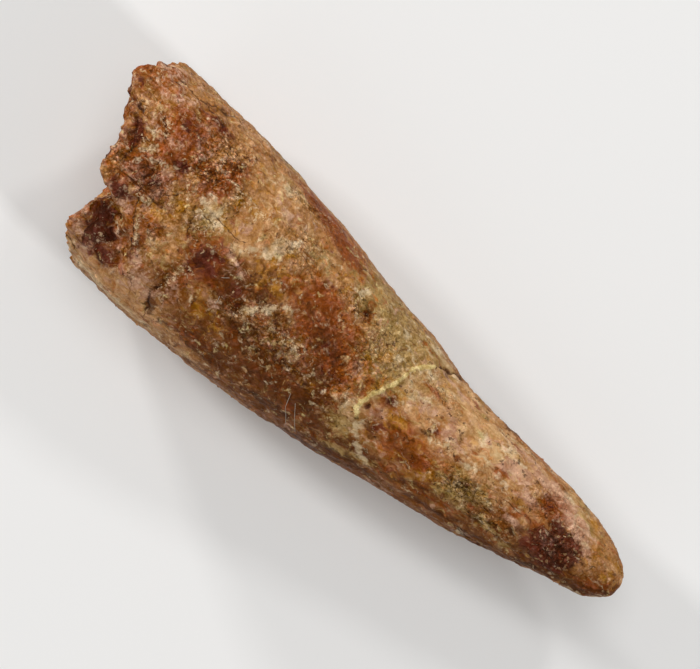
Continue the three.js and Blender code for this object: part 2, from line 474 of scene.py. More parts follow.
# %% Pits
PITS = [
    (40, 4.8, 0.75, 0.7, 0, 0.55), (6.8, -6.9, 0.9, 1, 0, 1.3), (20.1, -12.4, 0.4, 0.6, 10, 0.35),
    (4.7, 2.4, 0.6, 1.6, 35, 0.7), (14, -8.6, 0.5, 1.6, 0, 0.15), (61.8, -2.9, 0.7, 0.6, 0, 0.25),
    (47.4, -3.3, 0.3, 0.2, 0, 0.2), (22.8, -2.6, 0.6, 0.3, -10, 0.3),
    (7.4, 5, 0.9, 0.5, -40, 0.35), (32.8, -13, 0.8, 0.3, 0, 0.3), (24.3, -12.5, 0.5, 0.3, 0, 0.3),
    (73.5, 1.2, 0.6, 0.5, 0, 0.25), (79.8, -0.6, 0.4, 0.8, 0, 0.15),
]

pit_depth = lay_patches(PITS, shaken, angle)
print("deepest pit", round(pit_depth.max(), 2), "mm")

# %% [markdown]
# ## The mended break
# The crown once broke off and was glued back. The filler stands a little proud in the joint, wide
# in some places and rubbed away in others, so its width follows noise. Out of sight the break runs
# on round the crown as a fine crack, with less filler in it.

# %% Fill the break
MEND_LINE = [
    (50.1, 5.4), (49.3, 4.6), (48.6, 3.3), (48.2, 2.2), (48, 1.2), (47.6, -0.3), (46.9, -2),
    (46.4, -3.4), (46.5, -4.4), (47.2, -5.4),
]
MEND_X, MEND_SLANT = 47.6, 0.28  # where the break crosses the tip's line, and how it leans
MEND_WIDTH, MEND_HEIGHT = 0.3, 0.2  # mm
HIDDEN_WIDTH, HIDDEN_DEPTH = 0.2, 0.15  # mm, of the break on the underside
HIDDEN_LINE = 0.16  # mm, the width of the dark line in it

mend_width = MEND_WIDTH * (1 + 0.45 * clouds(places, 2.0, octaves=2, seed=17))
filler = ridge(line_gap(MEND_LINE, places + 0.3 * wander), mend_width)
filler *= smoothstep(clouds(places, 1.5, seed=9), -0.9, -0.35)

break_gap = shaken[:, 0] - MEND_X - MEND_SLANT * shaken[:, 1]
on_underside = smoothstep(slice_at(places[:, 0])[1] - places[:, 2], -0.5, 1.0)
hidden_crack = HIDDEN_DEPTH * on_underside * ridge(break_gap, HIDDEN_WIDTH)
crack_depth = np.maximum(crack_depth, hidden_crack)
hidden_gap = np.clip(break_gap / HIDDEN_LINE, -GAP_LIMIT, GAP_LIMIT)
crack_gap = np.where(on_underside > 0.5, hidden_gap, crack_gap)
left_over = ridge(break_gap, mend_width) * smoothstep(clouds(places, 2.5, seed=16), -0.1, 0.3)
filler = np.maximum(filler, on_underside * left_over)

relief += MEND_HEIGHT * filler - crack_depth - pit_depth
print("filler on", int((filler > 0.5).sum()), "points")

# %% [markdown]
# ## The broken end
# The break across the base is ragged. Its points are moved along the tooth, not outwards, by noise
# that depends only on where they are across the section, so that the rim moves with the face
# behind it. The wall's rim is found from the mesh: the lowest place along, angle by angle.

# %% Find the rim and the end face
END_REACH = 13  # mm along, past which nothing belongs to the broken end
RIM_BLEND = 3.0  # mm behind the rim over which the side follows it
RIM_BINS = 120


def rim_behind(places, angle, radius_share):
    """How far each point lies behind the rim at its angle, in mm."""
    on_side = radius_share > 0.9
    bins = ((angle + np.pi) / (2 * np.pi) * RIM_BINS).astype(int) % RIM_BINS
    rim = np.array([places[on_side & (bins == b), 0].min() for b in range(RIM_BINS)])
    return places[:, 0] - rim[bins]


normals = read_points(tooth, "normal")
behind = rim_behind(places, angle, radius_share)
near_end = places[:, 0] < END_REACH
on_end_face = near_end & (normals[:, 0] < -0.3)
end_share = np.where(radius_share < 0.88, 1.0, 1 - smoothstep(behind, 0.3, RIM_BLEND)) * near_end
print("points on the end face:", int(on_end_face.sum()))

# %% Carve the end, the hole and the tip
HOLE = (10.4, -9.0, 5.0, 4.6, 0, 1.0)
HOLE_LUMPS = 0.45  # mm
TIP_PUSH = 0.5  # mm, which the smoothing took off the tip

across_section = places * np.array([0, 1, 1])
jag = 0.2 + 0.5 * clouds(across_section, 2.4, octaves=4, seed=11)
jag += 0.5 * (cracks(across_section, 2.2, seed=12) - 0.6)
in_hole = smoothstep(1 - radius_share, 0.03, 0.09) * ~on_end_face
in_hole *= smoothstep(lay_patches([HOLE], places, angle), 0.4, 0.6)
relief += in_hole * HOLE_LUMPS * clouds(places, 1.5, octaves=3, seed=13)

carved = places + normals * relief[:, None]
carved[:, 0] += end_share * jag * (1 - in_hole)
carved[:, 0] += TIP_PUSH * smoothstep(places[:, 0], 79, LENGTH - 0.5)
carved[:, 2] = np.maximum(carved[:, 2], 0)
write_points(tooth, from_ruler(carved))
print("jagged rim from", round(carved[:, 0].min(), 2), "mm")
print("points in the hole:", int((in_hole > 0.5).sum()))

# %% [markdown]
# ## Stains
# The colour of a fossil is a record of what seeped into it. Here it is iron: tan and ochre where
# little came in, red-brown and maroon where more did, olive where the sand holds clay, cream where
# lime or filler sits on top. The first four stains are washes, which lie under the others and fade
# out softly, and the rest are small and ragged. Each stain is a list of patches. They become one
# number on every point of the mesh, an attribute, which the material later reads by name. Some
# patches are painted light and shade instead: bands along the crown's lower edge are painted shade,
# thin pale strips along the upper edge are painted light, the pale strips along the base's lower
# edge are partly painted light, and one pale mark near the rim is a painted glint.
#
# Painting attributes was chosen over drawing the stains in shader nodes because a stain has to be
# in its own place, and over a picture because a picture has to be unwrapped and has a fixed
# sharpness.

# %% Where the stains are
STAINS = {
    # Buff at (14, -12.8) and (22, -13.2), on the base's lower edge, is partly the stone's own tone
    # and partly painted light from the floor.
    "buff": [
        (23, 6, 4.5, 3.5, 0, 0.5), (57, 3.4, 7, 2.4, -3, 1.1), (66, 3.5, 5, 2.2, 0, 0.5),
        (14.6, 6.8, 2.4, 2.2, 0, 0.9), (14, -12.8, 7, 2.4, 0, 1.4), (22, -13.2, 5, 1.4, 4, 0.9),
        (52, 0.5, 3.4, 2.4, 0, 1), (9.5, -3.2, 2.6, 1.4, 0, 0.4), (52.6, 5.6, 5, 1.8, -5, 1.3),
        (63, 4.6, 6, 1.6, -3, 0.6), (80.5, 3, 2.6, 1.4, -20, 0.8), (24, 1, 3, 1.4, 0, 0.6),
        (29, 5, 3, 2, 0, 0.6), (33, 4.2, 2.8, 1.4, 0, 0.6), (46.5, -1, 2.4, 3, 0, 0.8),
        (44, 1.2, 3, 2.2, 0, 0.6), (33, 5.4, 2.6, 1.4, 0, 0.6), (76, 3.6, 4, 1.2, -12, 0.6),
    ],
    # The sallow at (20.5, 11.6), on the upper edge, is painted light.
    # The sallow washes along the crown's lower edge, from (50.5, -9) to (66, -7.2), are painted
    # shade.
    "sallow": [
        (60, -6, 12, 2.6, 6, 0.6), (51, -10.5, 8, 1.6, 8, 0.6), (66, -7.2, 8, 1.4, 9, 0.6),
        (62, 3, 10, 3, 0, 0.45), (76, 4, 6, 1.6, -12, 0.6), (28, -8.6, 3.4, 1.6, 0, 0.5),
        (43, 7.2, 8, 3.4, -8, 1.2), (46, 2, 3.4, 4, 0, 1), (18.4, 0.4, 2.4, 2.4, 0, 0.8),
        (46, -6.6, 2.2, 2, 0, 0.9), (62.5, -4, 4, 2, 6, 0.9), (24, 9.8, 3, 1.4, 0, 0.6),
        (20.5, 11.6, 4, 0.9, 0, 0.9), (51, 4.6, 3, 2.4, -5, 0.6), (50.5, -9, 2.6, 1.2, 8, 0.7),
        (23, -0.5, 3, 1.6, 0, 0.5), (49.7, 2.4, 1.3, 3.6, -15, 1.4),
    ],
    "russet": [
        (10.5, 5.5, 4, 4, 20, 1), (16.6, 4.5, 1.6, 4, 0, 0.9), (8.5, 6, 4, 4, 0, 0.7),
        (37.2, 1.2, 4.4, 2.5, -14, 1.2), (40, -2, 3.6, 3, -25, 1), (54, -3.8, 5, 2.4, -6, 1),
        (30.5, 9.8, 6, 2.4, -9, 1.2), (2.5, 9.6, 3.4, 3.4, 0, 1), (13, -6, 3, 3, 30, 0.6),
        (5, 0.5, 2.5, 4, 20, 0.6), (9.5, -2.4, 3, 3.2, 0, 1), (72, 2.5, 2.5, 2, 0, 0.8),
        (81, 0.8, 3, 2.4, 0, 0.4),
    ],
    # The brown bands along the crown's lower edge, from (46, -12) to (82, -2), are painted shade.
    "brown": [
        (34, -9.5, 11, 4.5, 3, 1.3), (26, -3.6, 4, 2.8, -15, 1.3),
        (27.5, -0.4, 2.6, 1.6, -15, 0.7), (30, 1, 2.6, 1.2, -10, 0.7), (37, -1, 5, 3, -10, 0.7),
        (40.6, -9, 3.2, 3, 8, 1), (54, -9.6, 9, 2.6, 8, 1.2), (66, -7.2, 9, 2.9, 9, 1.4),
        (76, -4.4, 7, 2.6, 14, 1.4), (46, -12, 8, 2.4, 8, 1.5), (51.5, -8.6, 2.4, 1.2, 8, 0.9),
        (12, -10.5, 2.6, 2, 0, 0.5), (36, -12.8, 12, 2, 4, 1.2), (68.5, -3.2, 4, 2, 8, 0.9),
        (82, -2, 2.5, 1, 25, 0.9), (55.5, -4.6, 4, 1.6, -6, 0.8), (48, -9.4, 5.5, 2.2, 8, 1.3),
        (68.5, -1.6, 3, 2, 0, 0.6), (67.5, -4.4, 5, 1.8, 8, 1.1), (54, -8.2, 11, 1.5, 8, 0.8),
        (69.5, 1, 3.4, 2.4, 0, 0.4), (30, -2, 4, 2, -5, 0.6), (20.6, -8.8, 2.8, 2.6, 0, 1.1),
        (51, -9.4, 3.6, 1.6, 8, 1.2),
    ],
    # Cream at (15, -14.2) and (24, -13.9), on the base's lower edge, is partly the stone's own tone
    # and partly painted light from the floor.
    # The thin cream strips along the upper edge, from (5.5, 11.2) to (70.5, 4.9), are painted
    # light.
    "cream": [
        (5.5, 11.2, 3, 0.8, 0, 0.4), (9.5, 11.5, 4, 0.5, 0, 0.5), (22.3, 9.2, 1.9, 1.5, 0, 1.1),
        (24.6, 9.9, 1.4, 0.7, 0, 0.8), (24.6, 6.6, 2.2, 1, -10, 0.6),
        (30.4, 6.2, 2.6, 1.2, -10, 0.7), (22, 4.4, 1.8, 1.4, 0, 0.4), (15, -14.2, 9, 1.1, 0, 1.4),
        (24, -13.9, 5, 0.7, 3, 0.9), (52, 1.4, 1.6, 1.1, 0, 1), (50, 3, 1.1, 2.6, -12, 1.4),
        (56.5, 4.2, 4, 1.2, 0, 0.8), (60.2, 1.6, 2.2, 1.3, 0, 1), (63, 2.7, 1.8, 1.1, 0, 1.2),
        (60, 4.8, 3, 0.7, 0, 0.8), (66, 2.2, 1.8, 1, 0, 0.8), (67.4, 4.3, 1.8, 0.8, 0, 0.8),
        (54.6, 5.9, 4.5, 0.7, 0, 1.3), (68.6, 4.8, 3, 0.9, -3, 1), (62.5, 5.5, 4, 0.4, 0, 0.9),
        (58, -0.4, 1.2, 0.6, 0, 0.8), (8.4, -13.2, 1.8, 0.7, -10, 1),
        (6.8, -11.4, 0.8, 1.2, 0, 0.6), (10.2, -3, 1.6, 0.8, 0, 0.7), (62, 0.8, 3.6, 1.6, 0, 0.6),
        (64.5, -0.2, 2.4, 0.5, 0, 0.6), (70.5, 4.9, 1.6, 0.5, 0, 0.8),
        (18.2, 1.2, 1.6, 1, -20, 0.9), (14.8, -0.6, 1.6, 1.2, 0, 0.5),
        (5, 6.4, 1.3, 0.6, -40, 0.6), (45.6, -5.2, 1.6, 1.3, 0, 1), (42.5, 7, 4, 1, -10, 0.6),
        (15.6, -6.6, 1.4, 0.8, -20, 0.5), (30, -4, 1.6, 0.9, 45, 0.7),
        (35, -4.4, 2.6, 1.1, -6, 0.8), (23.6, -0.2, 1.6, 0.9, 0, 0.7),
    ],
    "olive": [
        (42.5, 6.4, 6, 3, -10, 1.1), (46, 2.2, 2.6, 3, 0, 0.7), (38, 6.6, 2.2, 1.4, 0, 1),
        (32.5, 5.8, 2.6, 1.6, -5, 0.6), (46.6, -7.2, 1.8, 1.4, 0, 1),
        (18.6, 0.4, 1.6, 1.6, 0, 0.4), (62, -2.6, 3.2, 1.3, 0, 0.8), (66, -4.6, 3.4, 1, 6, 0.8),
        (71.5, -4.4, 2.6, 0.8, 10, 0.7), (60.2, -5.2, 2.4, 1.2, 10, 0.8),
        (57.6, 2.2, 1.5, 0.9, 0, 0.4), (75.5, 4.9, 1.6, 0.5, -8, 0.8),
        (8.4, 11.4, 1.6, 0.4, 0, 0.6), (44.5, -9.6, 2.4, 1.2, 8, 0.7),
        (17.6, -3.8, 1.4, 1.6, 0, 0.4), (17, -7.4, 1.6, 1.4, 0, 0.4),
        (48.5, 6.3, 2, 0.8, -8, 0.8), (50.5, -8.9, 2.4, 0.7, 8, 0.9), (43, 2, 1.6, 2, 0, 0.8),
        (34, -5.4, 3.4, 1.6, 0, 0.6), (64.5, -0.6, 2, 0.8, 0, 0.6), (6.6, 1.9, 1, 0.5, 0, 0.6),
        (48, -9.8, 3, 0.8, 8, 1),
    ],
    "ochre": [
        (44.5, 0.4, 2.6, 2.2, 0, 0.6), (46.2, -1.4, 1.4, 1.6, 0, 0.6),
        (36, 5.4, 2.4, 1.2, 0, 0.4), (24.8, -8.3, 2, 1.1, -5, 0.9), (21.5, 6.4, 3, 3, 0, 0.5),
        (20.5, 2.5, 2, 1.5, 0, 0.5), (28, -8.4, 1.6, 0.8, 0, 0.7), (50.6, -3.6, 1.4, 1.4, 0, 0.7),
        (55.5, -3.2, 2.4, 1.2, -6, 0.6), (20.8, 9.6, 1, 1, 0, 0.6), (29, -0.6, 2.4, 1.3, 0, 0.9),
        (28.8, 1.4, 2, 0.8, 0, 0.8), (9.2, -6.4, 0.7, 0.5, 0, 1.6),
        (51.2, -2.4, 1.6, 0.8, 0, 0.9), (50.4, 0.4, 1.2, 1.2, 0, 0.7),
        (80.5, 2.4, 1.8, 1, 0, 0.6), (40.5, -6.4, 2.5, 1.2, 0, 0.5),
        (54.2, -4, 2.6, 1.4, -8, 0.8), (57.6, -5, 2.6, 1.1, 25, 0.9),
        (5.6, 7.4, 1.6, 0.8, 0, 0.6), (76.7, 4.5, 1, 0.5, -10, 0.8), (81, 1.2, 2, 1.2, 0, 0.5),
        (14.6, -0.8, 1.6, 1.2, 0, 0.7), (12.9, -3.4, 1.3, 0.7, 0, 0.9),
        (10.6, -4.2, 1.4, 0.8, 0, 0.6), (19.6, 4.6, 0.8, 1.6, 0, 0.8),
        (28.4, 4.2, 1.2, 1, 0, 0.8), (69, 0.2, 1.2, 0.6, 0, 0.5),
    ],
    "orange": [
        (43.2, -2.4, 1.2, 1.6, 0, 0.9), (22.4, -4.9, 1, 0.6, 0, 0.9),
        (33.6, 3.4, 2, 1.3, -10, 0.7), (6.8, -10.8, 0.8, 1.5, 0, 1), (80, 2.6, 1.8, 1.2, 0, 0.5),
        (58, -3.4, 2.2, 0.7, 25, 0.6), (5, -2.6, 1.2, 1.4, 0, 0.4),
        (14.4, -4.7, 1.6, 0.8, 0, 0.8), (44.6, 0.6, 1.2, 1.2, 0, 0.5),
        (12.2, -6.8, 0.8, 1.4, 45, 0.7), (52.6, -5.4, 2.2, 0.6, 30, 0.6),
        (6.2, 0.4, 1.6, 1, 0, 0.6), (31, 1.4, 1.8, 0.7, 0, 0.5), (82.6, 0.6, 1, 1.2, 0, 0.4),
        (16, 3.4, 1.2, 0.8, 0, 0.6), (33.8, 8, 1.6, 0.8, -10, 0.6), (28, 4.4, 0.9, 0.7, 0, 0.6),
        (54, 4.6, 1.4, 0.4, 0, 0.6),
    ],
    "flesh": [
        (8.6, -4.4, 2.6, 1.4, 0, 0.9), (7.4, -12, 1.2, 1.4, 0, 0.8), (10, -12, 2, 1.4, 0, 0.8),
        (9.4, 0.9, 2.2, 1, 0, 0.6), (11.2, 0.1, 1.6, 1.8, 0, 0.7), (9, -1.2, 2.4, 2.6, 0, 0.6),
        (4, 0, 2, 3, 20, 0.6), (8, 3.8, 2.6, 1.4, 0, 0.6), (6.9, -10.6, 0.8, 1.8, 0, 0.6),
        (11.8, -1.6, 1.5, 0.6, 0, 0.8), (11.4, 8, 1, 0.5, 0, 0.9), (11.6, 6.5, 0.7, 0.8, 0, 0.6),
        (48.9, -3, 1.1, 0.9, 0, 1), (51.6, 1.3, 1.4, 0.9, 0, 0.7), (69, 1.4, 1.5, 0.9, 0, 1),
        (71, 4.2, 3.4, 1.1, -6, 1.2), (75, 3, 2.6, 1.2, -12, 1.2), (65.5, 2.6, 2, 1.4, 0, 1),
        (69.4, -1.9, 1, 0.3, 0, 0.8), (74.2, 3.2, 1.7, 1, -10, 1),
        (17.4, -11.2, 2.8, 1.4, 0, 0.9), (21.4, -8.6, 1.4, 1.5, 0, 0.6),
        (25, 7.2, 2.2, 0.9, 0, 0.6), (66, 4.6, 2.5, 0.9, 0, 0.8), (56.2, 1.4, 2.4, 0.9, -5, 0.7),
        (3.6, 10.2, 2.6, 2, 30, 0.6), (6, 8.6, 2.4, 1.6, 30, 0.5), (52.5, 5.5, 2, 0.35, 0, 0.9),
        (25.8, -6.8, 1.4, 0.5, -15, 0.5), (78.2, 1.2, 0.8, 0.8, 0, 0.8),
        (15.2, -9.4, 1.2, 1.2, 0, 0.8), (24.3, -1.6, 1.8, 0.5, -20, 0.7),
        (57.5, 0.1, 1.4, 0.6, 0, 0.8), (2.4, 4.8, 1, 0.5, 0, 0.7), (13.4, -8, 0.9, 1.4, 45, 0.6),
        (60.5, 3.4, 2.6, 0.8, 0, 0.6), (47.6, -1, 0.5, 0.8, 0, 0.5),
        (34.5, 4.5, 0.9, 0.3, 0, 0.7), (22.4, 2.6, 1.4, 0.8, 0, 0.4),
        (43.4, -1.4, 0.6, 0.9, 30, 0.7), (6.4, -9.4, 0.8, 0.8, 0, 0.8),
        (9.6, -12.9, 1.6, 0.6, -10, 0.7),
    ],
    "rust": [
        (9.6, -0.8, 2.4, 2.8, 0, 0.75), (21.6, -3.9, 2.2, 2.2, 0, 1.6), (9.8, -8.6, 3, 3, 0, 0.6),
        (36, -3, 8, 4, -8, 0.5), (32.5, 0.4, 2.6, 1.6, -10, 0.9), (9.6, 6.6, 2.2, 2.6, 60, 1),
        (11, 9.2, 2.6, 1, -8, 1), (15, 4.6, 2.2, 1.8, 0, 0.5), (17.5, 5.6, 0.9, 3.2, 0, 1),
        (10.2, 2.7, 2.8, 1.2, 0, 1), (6.4, 8.6, 1.4, 0.8, -40, 0.5),
        (8.2, -3.9, 1.9, 1.2, 0, 0.8), (8, 0, 1.6, 1.4, 0, 0.8), (14.6, -4.9, 1.6, 1, 0, 0.5),
        (15.4, 2.8, 1.7, 1.4, 0, 0.9), (28.6, 10.2, 3.6, 1.6, -9, 1.1),
        (33.2, 8.6, 3, 1.4, -10, 1.1), (35, 2.6, 3, 1.6, -12, 1.1), (37, 0.6, 4.8, 2.2, -12, 1.1),
        (35.5, -1.2, 3.4, 1.2, -8, 0.9), (25.4, -4, 2.6, 1.6, -15, 0.9),
        (40.6, -2.2, 2.6, 2, -30, 1.1), (42.2, -6.8, 1.4, 2.2, 0, 0.8),
        (30, -8.2, 3, 1.4, 0, 0.7), (37, -8.8, 5, 1.8, 5, 0.9), (43, -10, 3, 1.4, 8, 0.8),
        (27, -11.6, 3.5, 1.2, 3, 0.9), (54.6, -4.2, 3.6, 2, -8, 1),
        (55.4, -0.3, 0.6, 0.6, 0, 1.1), (56.5, -7, 4.5, 0.9, 8, 0.8),
        (64.2, 1.2, 1.2, 0.4, 20, 0.8), (71.6, 2.4, 1.8, 1.4, 0, 0.9),
        (51.8, 3.2, 1.8, 0.5, 0, 0.7), (57.4, 5.3, 1.6, 0.4, 0, 0.7),
        (69.8, -0.8, 1.8, 0.6, 0, 0.8), (81.8, -1.6, 2.2, 1.1, 20, 0.9),
        (61.4, -6.4, 4.5, 0.7, 8, 0.7), (59.6, -0.9, 0.6, 0.25, 0, 1.1),
        (12.6, -10.6, 2, 1.7, 0, 1), (14, -8.4, 0.9, 1.8, 0, 0.9), (7.2, -7, 1.2, 1.3, 0, 1.3),
        (45.8, -1.8, 0.8, 1.6, 0, 0.7), (20.6, -5.6, 1.4, 1.2, 0, 0.9),
        (62.8, 4.9, 2.4, 0.3, -3, 0.5), (71.6, 5.1, 2, 0.4, 0, 0.7),
        (5.2, 1.8, 1.2, 1.8, 40, 0.8), (48.8, -1.2, 0.9, 0.7, 0, 0.9),
        (40.4, 4.9, 1, 0.8, 0, 0.8), (2, 7, 1.2, 1.4, 0, 0.6), (39, 2.4, 1.6, 1, -30, 0.5),
        (66.4, 0.6, 1.2, 0.4, 15, 0.6), (13.2, -12, 1.2, 0.6, 0, 1),
    ],
    # The umber bands along the crown's lower edge, from (44, -9.4) to (82, -2.2), are painted
    # shade.
    "umber": [
        (35, -8.8, 9, 3, 2, 0.6), (25.6, -3.8, 2.4, 1.6, -20, 0.9),
        (29.5, -2, 3.2, 1.6, -12, 0.75), (36.5, 0.2, 4, 1.2, -10, 0.3),
        (41.2, -8, 2.8, 2.2, 0, 1), (36, -9.6, 5.5, 1.6, 4, 0.8), (41, -4.6, 2, 1.4, 0, 0.7),
        (13.3, -2.4, 1, 0.3, 0, 0.9), (20.1, -12, 0.7, 1.3, 12, 1.3), (30, -6.8, 3, 1.4, 0, 0.6),
        (14, -8.6, 0.5, 1.6, 0, 0.8), (61.8, -3, 1.2, 0.7, 0, 0.9),
        (66.2, -4.6, 1.4, 0.6, 0, 0.8), (70, -2.9, 1.1, 0.7, 0, 0.8),
        (39, -1.6, 3, 1.4, -20, 0.7), (31.5, -11, 6, 1.2, 4, 0.8), (7.2, -6, 0.8, 0.9, 30, 1),
        (54.8, -1.2, 0.9, 0.25, 5, 0.7), (5.2, 2, 0.9, 2, 35, 0.5),
        (54, -4.4, 2.6, 1.2, -15, 0.4), (67, -6.6, 4, 0.6, 5, 0.8), (62, -7.4, 4, 0.6, 6, 0.8),
        (49.6, -5.4, 2, 0.9, -25, 0.5), (58.5, -6.4, 3, 0.8, 12, 0.7), (38, -11.4, 5, 0.9, 5, 1),
        (76, -4, 5, 1.2, 14, 1.1), (45.5, -11.6, 4, 1, 8, 1), (2.8, 4.9, 1, 0.35, 0, 0.8),
        (72, -3.6, 1.8, 1, 10, 0.8), (82, -2.2, 2, 0.8, 25, 1.2), (51.5, -10, 3.6, 1, 8, 1),
        (17.2, 7.6, 0.7, 1, 0, 0.7), (72.2, 1.8, 1, 0.6, 0, 0.6), (29, -12.2, 4, 0.6, 4, 0.8),
        (22.6, -12.6, 2, 0.5, 0, 0.6), (49, -8.6, 3, 1, 8, 0.6), (44, -9.4, 2.4, 1.4, 8, 0.8),
        (47.5, -10.4, 4.5, 1.1, 8, 0.9), (33, -7.4, 2.4, 0.9, 0, 0.6),
        (27.8, 0.2, 1.4, 0.6, 0, 0.6),
    ],
    "maroon": [
        (12, 9.4, 1.8, 0.6, -5, 0.9), (11.9, 2.8, 1, 0.7, 0, 1.1), (8.4, -4.3, 1.2, 0.8, 0, 1.1),
        (9.2, 6.6, 0.9, 1.3, 50, 0.7), (21.4, -3.8, 1.7, 1.8, 20, 1),
        (20.8, -5.6, 0.8, 0.7, 0, 0.9), (23, -2.4, 0.6, 0.5, -10, 0.9),
        (26.8, -4, 1.6, 0.9, -20, 0.6), (47.4, -3.4, 0.4, 0.4, 0, 0.9),
        (48.8, -1.2, 0.7, 0.5, 0, 0.7), (75.2, -1.3, 2.2, 1.9, 0, 2.6),
        (74.2, 0.9, 1.6, 0.8, 0, 1.2), (77, 0.9, 1, 0.7, 0, 0.8), (5.1, 2.5, 0.9, 1.6, 35, 0.8),
        (40, 4.8, 0.5, 0.4, 0, 0.7), (55.3, -0.3, 0.4, 0.4, 0, 0.8),
        (10.8, -0.6, 0.9, 1.4, 0, 0.45), (38.5, -1, 2.5, 0.9, -15, 0.4),
        (1, 7.2, 0.8, 0.7, 0, 0.7), (41.2, -3.6, 1.2, 0.8, 0, 0.6), (35, 4.2, 0.8, 0.4, 0, 0.6),
        (49.8, -4.8, 0.9, 0.6, 0, 0.6), (71.8, 2.6, 0.8, 0.6, 0, 0.6),
    ],
    # (7.2, 5.2), near the rim, is a painted glint.
    # Pale at (14, -14.3), on the base's lower edge, is partly the stone's own tone and partly
    # painted light from the floor.
    # The thin pale strips along the upper edge, as (50.5, 6.9), (53.8, 5.9) and (64, 5.3), are
    # painted light.
    "pale": [
        (63, 3.6, 3.4, 1.6, 0, 0.45), (62, 0.6, 3.4, 1.2, 0, 0.35), (75, 4.2, 3, 0.8, -10, 0.5),
        (52.5, 2.8, 2, 1.8, 0, 0.4), (7.4, 1.6, 1.6, 0.7, 0, 0.5), (7.6, 3.4, 1.6, 0.7, -30, 0.4),
        (50.2, 2.8, 1.3, 2.6, -14, 0.6), (50.5, 6.9, 3, 0.8, -8, 0.7), (46, 4.6, 2.4, 2, 0, 0.3),
        (27, 3.3, 0.9, 1.7, -25, 1.7), (25.4, 1.7, 1.2, 0.4, 40, 0.8),
        (18.3, 0.9, 1.5, 1, -20, 1), (32.5, -1.3, 0.5, 0.4, 0, 0.9),
        (31.1, -2.9, 0.4, 0.7, -30, 0.9), (29.4, -4.5, 0.9, 0.45, 45, 1),
        (34.6, -3.8, 0.9, 0.3, 0, 0.7), (36.3, -4.6, 0.4, 0.6, 0, 0.7),
        (39.9, -5.2, 0.4, 0.6, 0, 0.6), (13.2, -7, 0.3, 1.2, 45, 0.8),
        (10.9, -3.2, 1, 0.3, -20, 0.4), (7.6, 1.7, 0.8, 0.4, 0, 0.5), (14, -14.3, 7, 0.6, 0, 1.1),
        (45.4, -5.2, 1, 0.8, 0, 0.9), (46.3, -3.9, 0.6, 0.5, 0, 0.8),
        (48.1, -6.6, 1.1, 0.3, -50, 1), (49.9, -8, 1.1, 0.35, -35, 1.1),
        (51.5, -8.5, 0.8, 0.4, -30, 0.9), (62.8, 2.5, 0.8, 0.6, 0, 0.9),
        (62.9, 3.5, 0.8, 0.15, 0, 0.7), (57.8, 0.2, 0.8, 0.4, -10, 0.7),
        (51.6, 1.5, 0.9, 0.5, 0, 0.7), (49.4, 4.9, 0.5, 0.6, 0, 0.9),
        (37.6, 6.2, 1, 0.6, 20, 0.6), (19.8, 5.4, 2, 0.15, 0, 0.7), (22.8, 9.4, 0.8, 0.7, 0, 0.7),
        (7.2, 5.2, 0.9, 0.4, -40, 0.7), (8.6, -13.6, 1.6, 0.4, -10, 0.8),
        (77.6, 1.9, 0.5, 0.3, 0, 0.7), (42.3, -7.6, 0.5, 0.3, 0, 0.5), (64, 5.3, 2, 0.2, 0, 0.7),
        (23, -0.2, 0.8, 0.4, 0, 0.6), (20, -7.4, 0.4, 1, 0, 0.6), (28.2, -6, 0.5, 0.5, 0, 0.5),
        (53.8, 5.9, 1.6, 0.15, 0, 0.9),
    ],
}
print(sum(len(patches) for patches in STAINS.values()), "patches in", len(STAINS), "stains")

# %% [markdown]
# The underside was never planned by anyone, and here nobody has to look for a mark in its place.
# So its patches are drawn by lot, from one fixed seed, with the same kinds and sizes of stain.

# %% Stains on the underside
UNDER_SEED = 4
UNDER_PATCHES = {
    "buff": 8, "sallow": 9, "russet": 13, "brown": 13, "cream": 14, "olive": 14, "ochre": 12,
    "orange": 8, "flesh": 14, "rust": 22, "umber": 14, "maroon": 7, "pale": 14,
}


def drawn_by_lot(count, lot):
    """Patches anywhere on a side of the tooth, most of them small and drawn out along it."""
    patches = []
    for _ in range(count):
        along = lot.uniform(4, LENGTH - 4)
        mid_y, _, half_width, _ = slice_at(along)
        across = mid_y + half_width * np.sin(lot.uniform(-1.4, 1.4))
        half_length = lot.uniform(0.8, 4.2)
        half_breadth = half_length * lot.uniform(0.3, 0.8)
        turn, strength = lot.uniform(-30, 30), lot.uniform(0.6, 1.2)
        patches.append((along, across, half_length, half_breadth, turn, strength))
    return patches


lot = np.random.default_rng(UNDER_SEED)
fields = {}
for stain, patches in STAINS.items():
    fields[stain] = lay_all_round(patches, drawn_by_lot(UNDER_PATCHES[stain], lot))
print("underside drawn, with", sum(UNDER_PATCHES.values()), "patches")

# %% [markdown]
# The broken end has stains of its own, which come from the carving and not from patches: blots of
# most stains across the face, rust on the raw dentine round the edge, and sandy ochre on the matrix
# that fills the middle. The blots depend only on the place across the section, as the ragged break
# itself does.

# %% Stains on the broken end
FILL_RADIUS = (0.5, 0.66)  # share of the section's radius where the matrix filling ends
END_STAINS = {
    "cream": 0.7, "olive": 0.6, "orange": 0.7, "flesh": 0.8, "rust": 1, "umber": 0.8,
    "maroon": 0.7, "pale": 0.6, "buff": 0, "sallow": 0, "russet": 0.8, "brown": 0.7, "ochre": 0.7,
}


def add_stain(stain, field):
    """A field laid over what a stain already has."""
    fields[stain] = np.maximum(fields[stain], field)


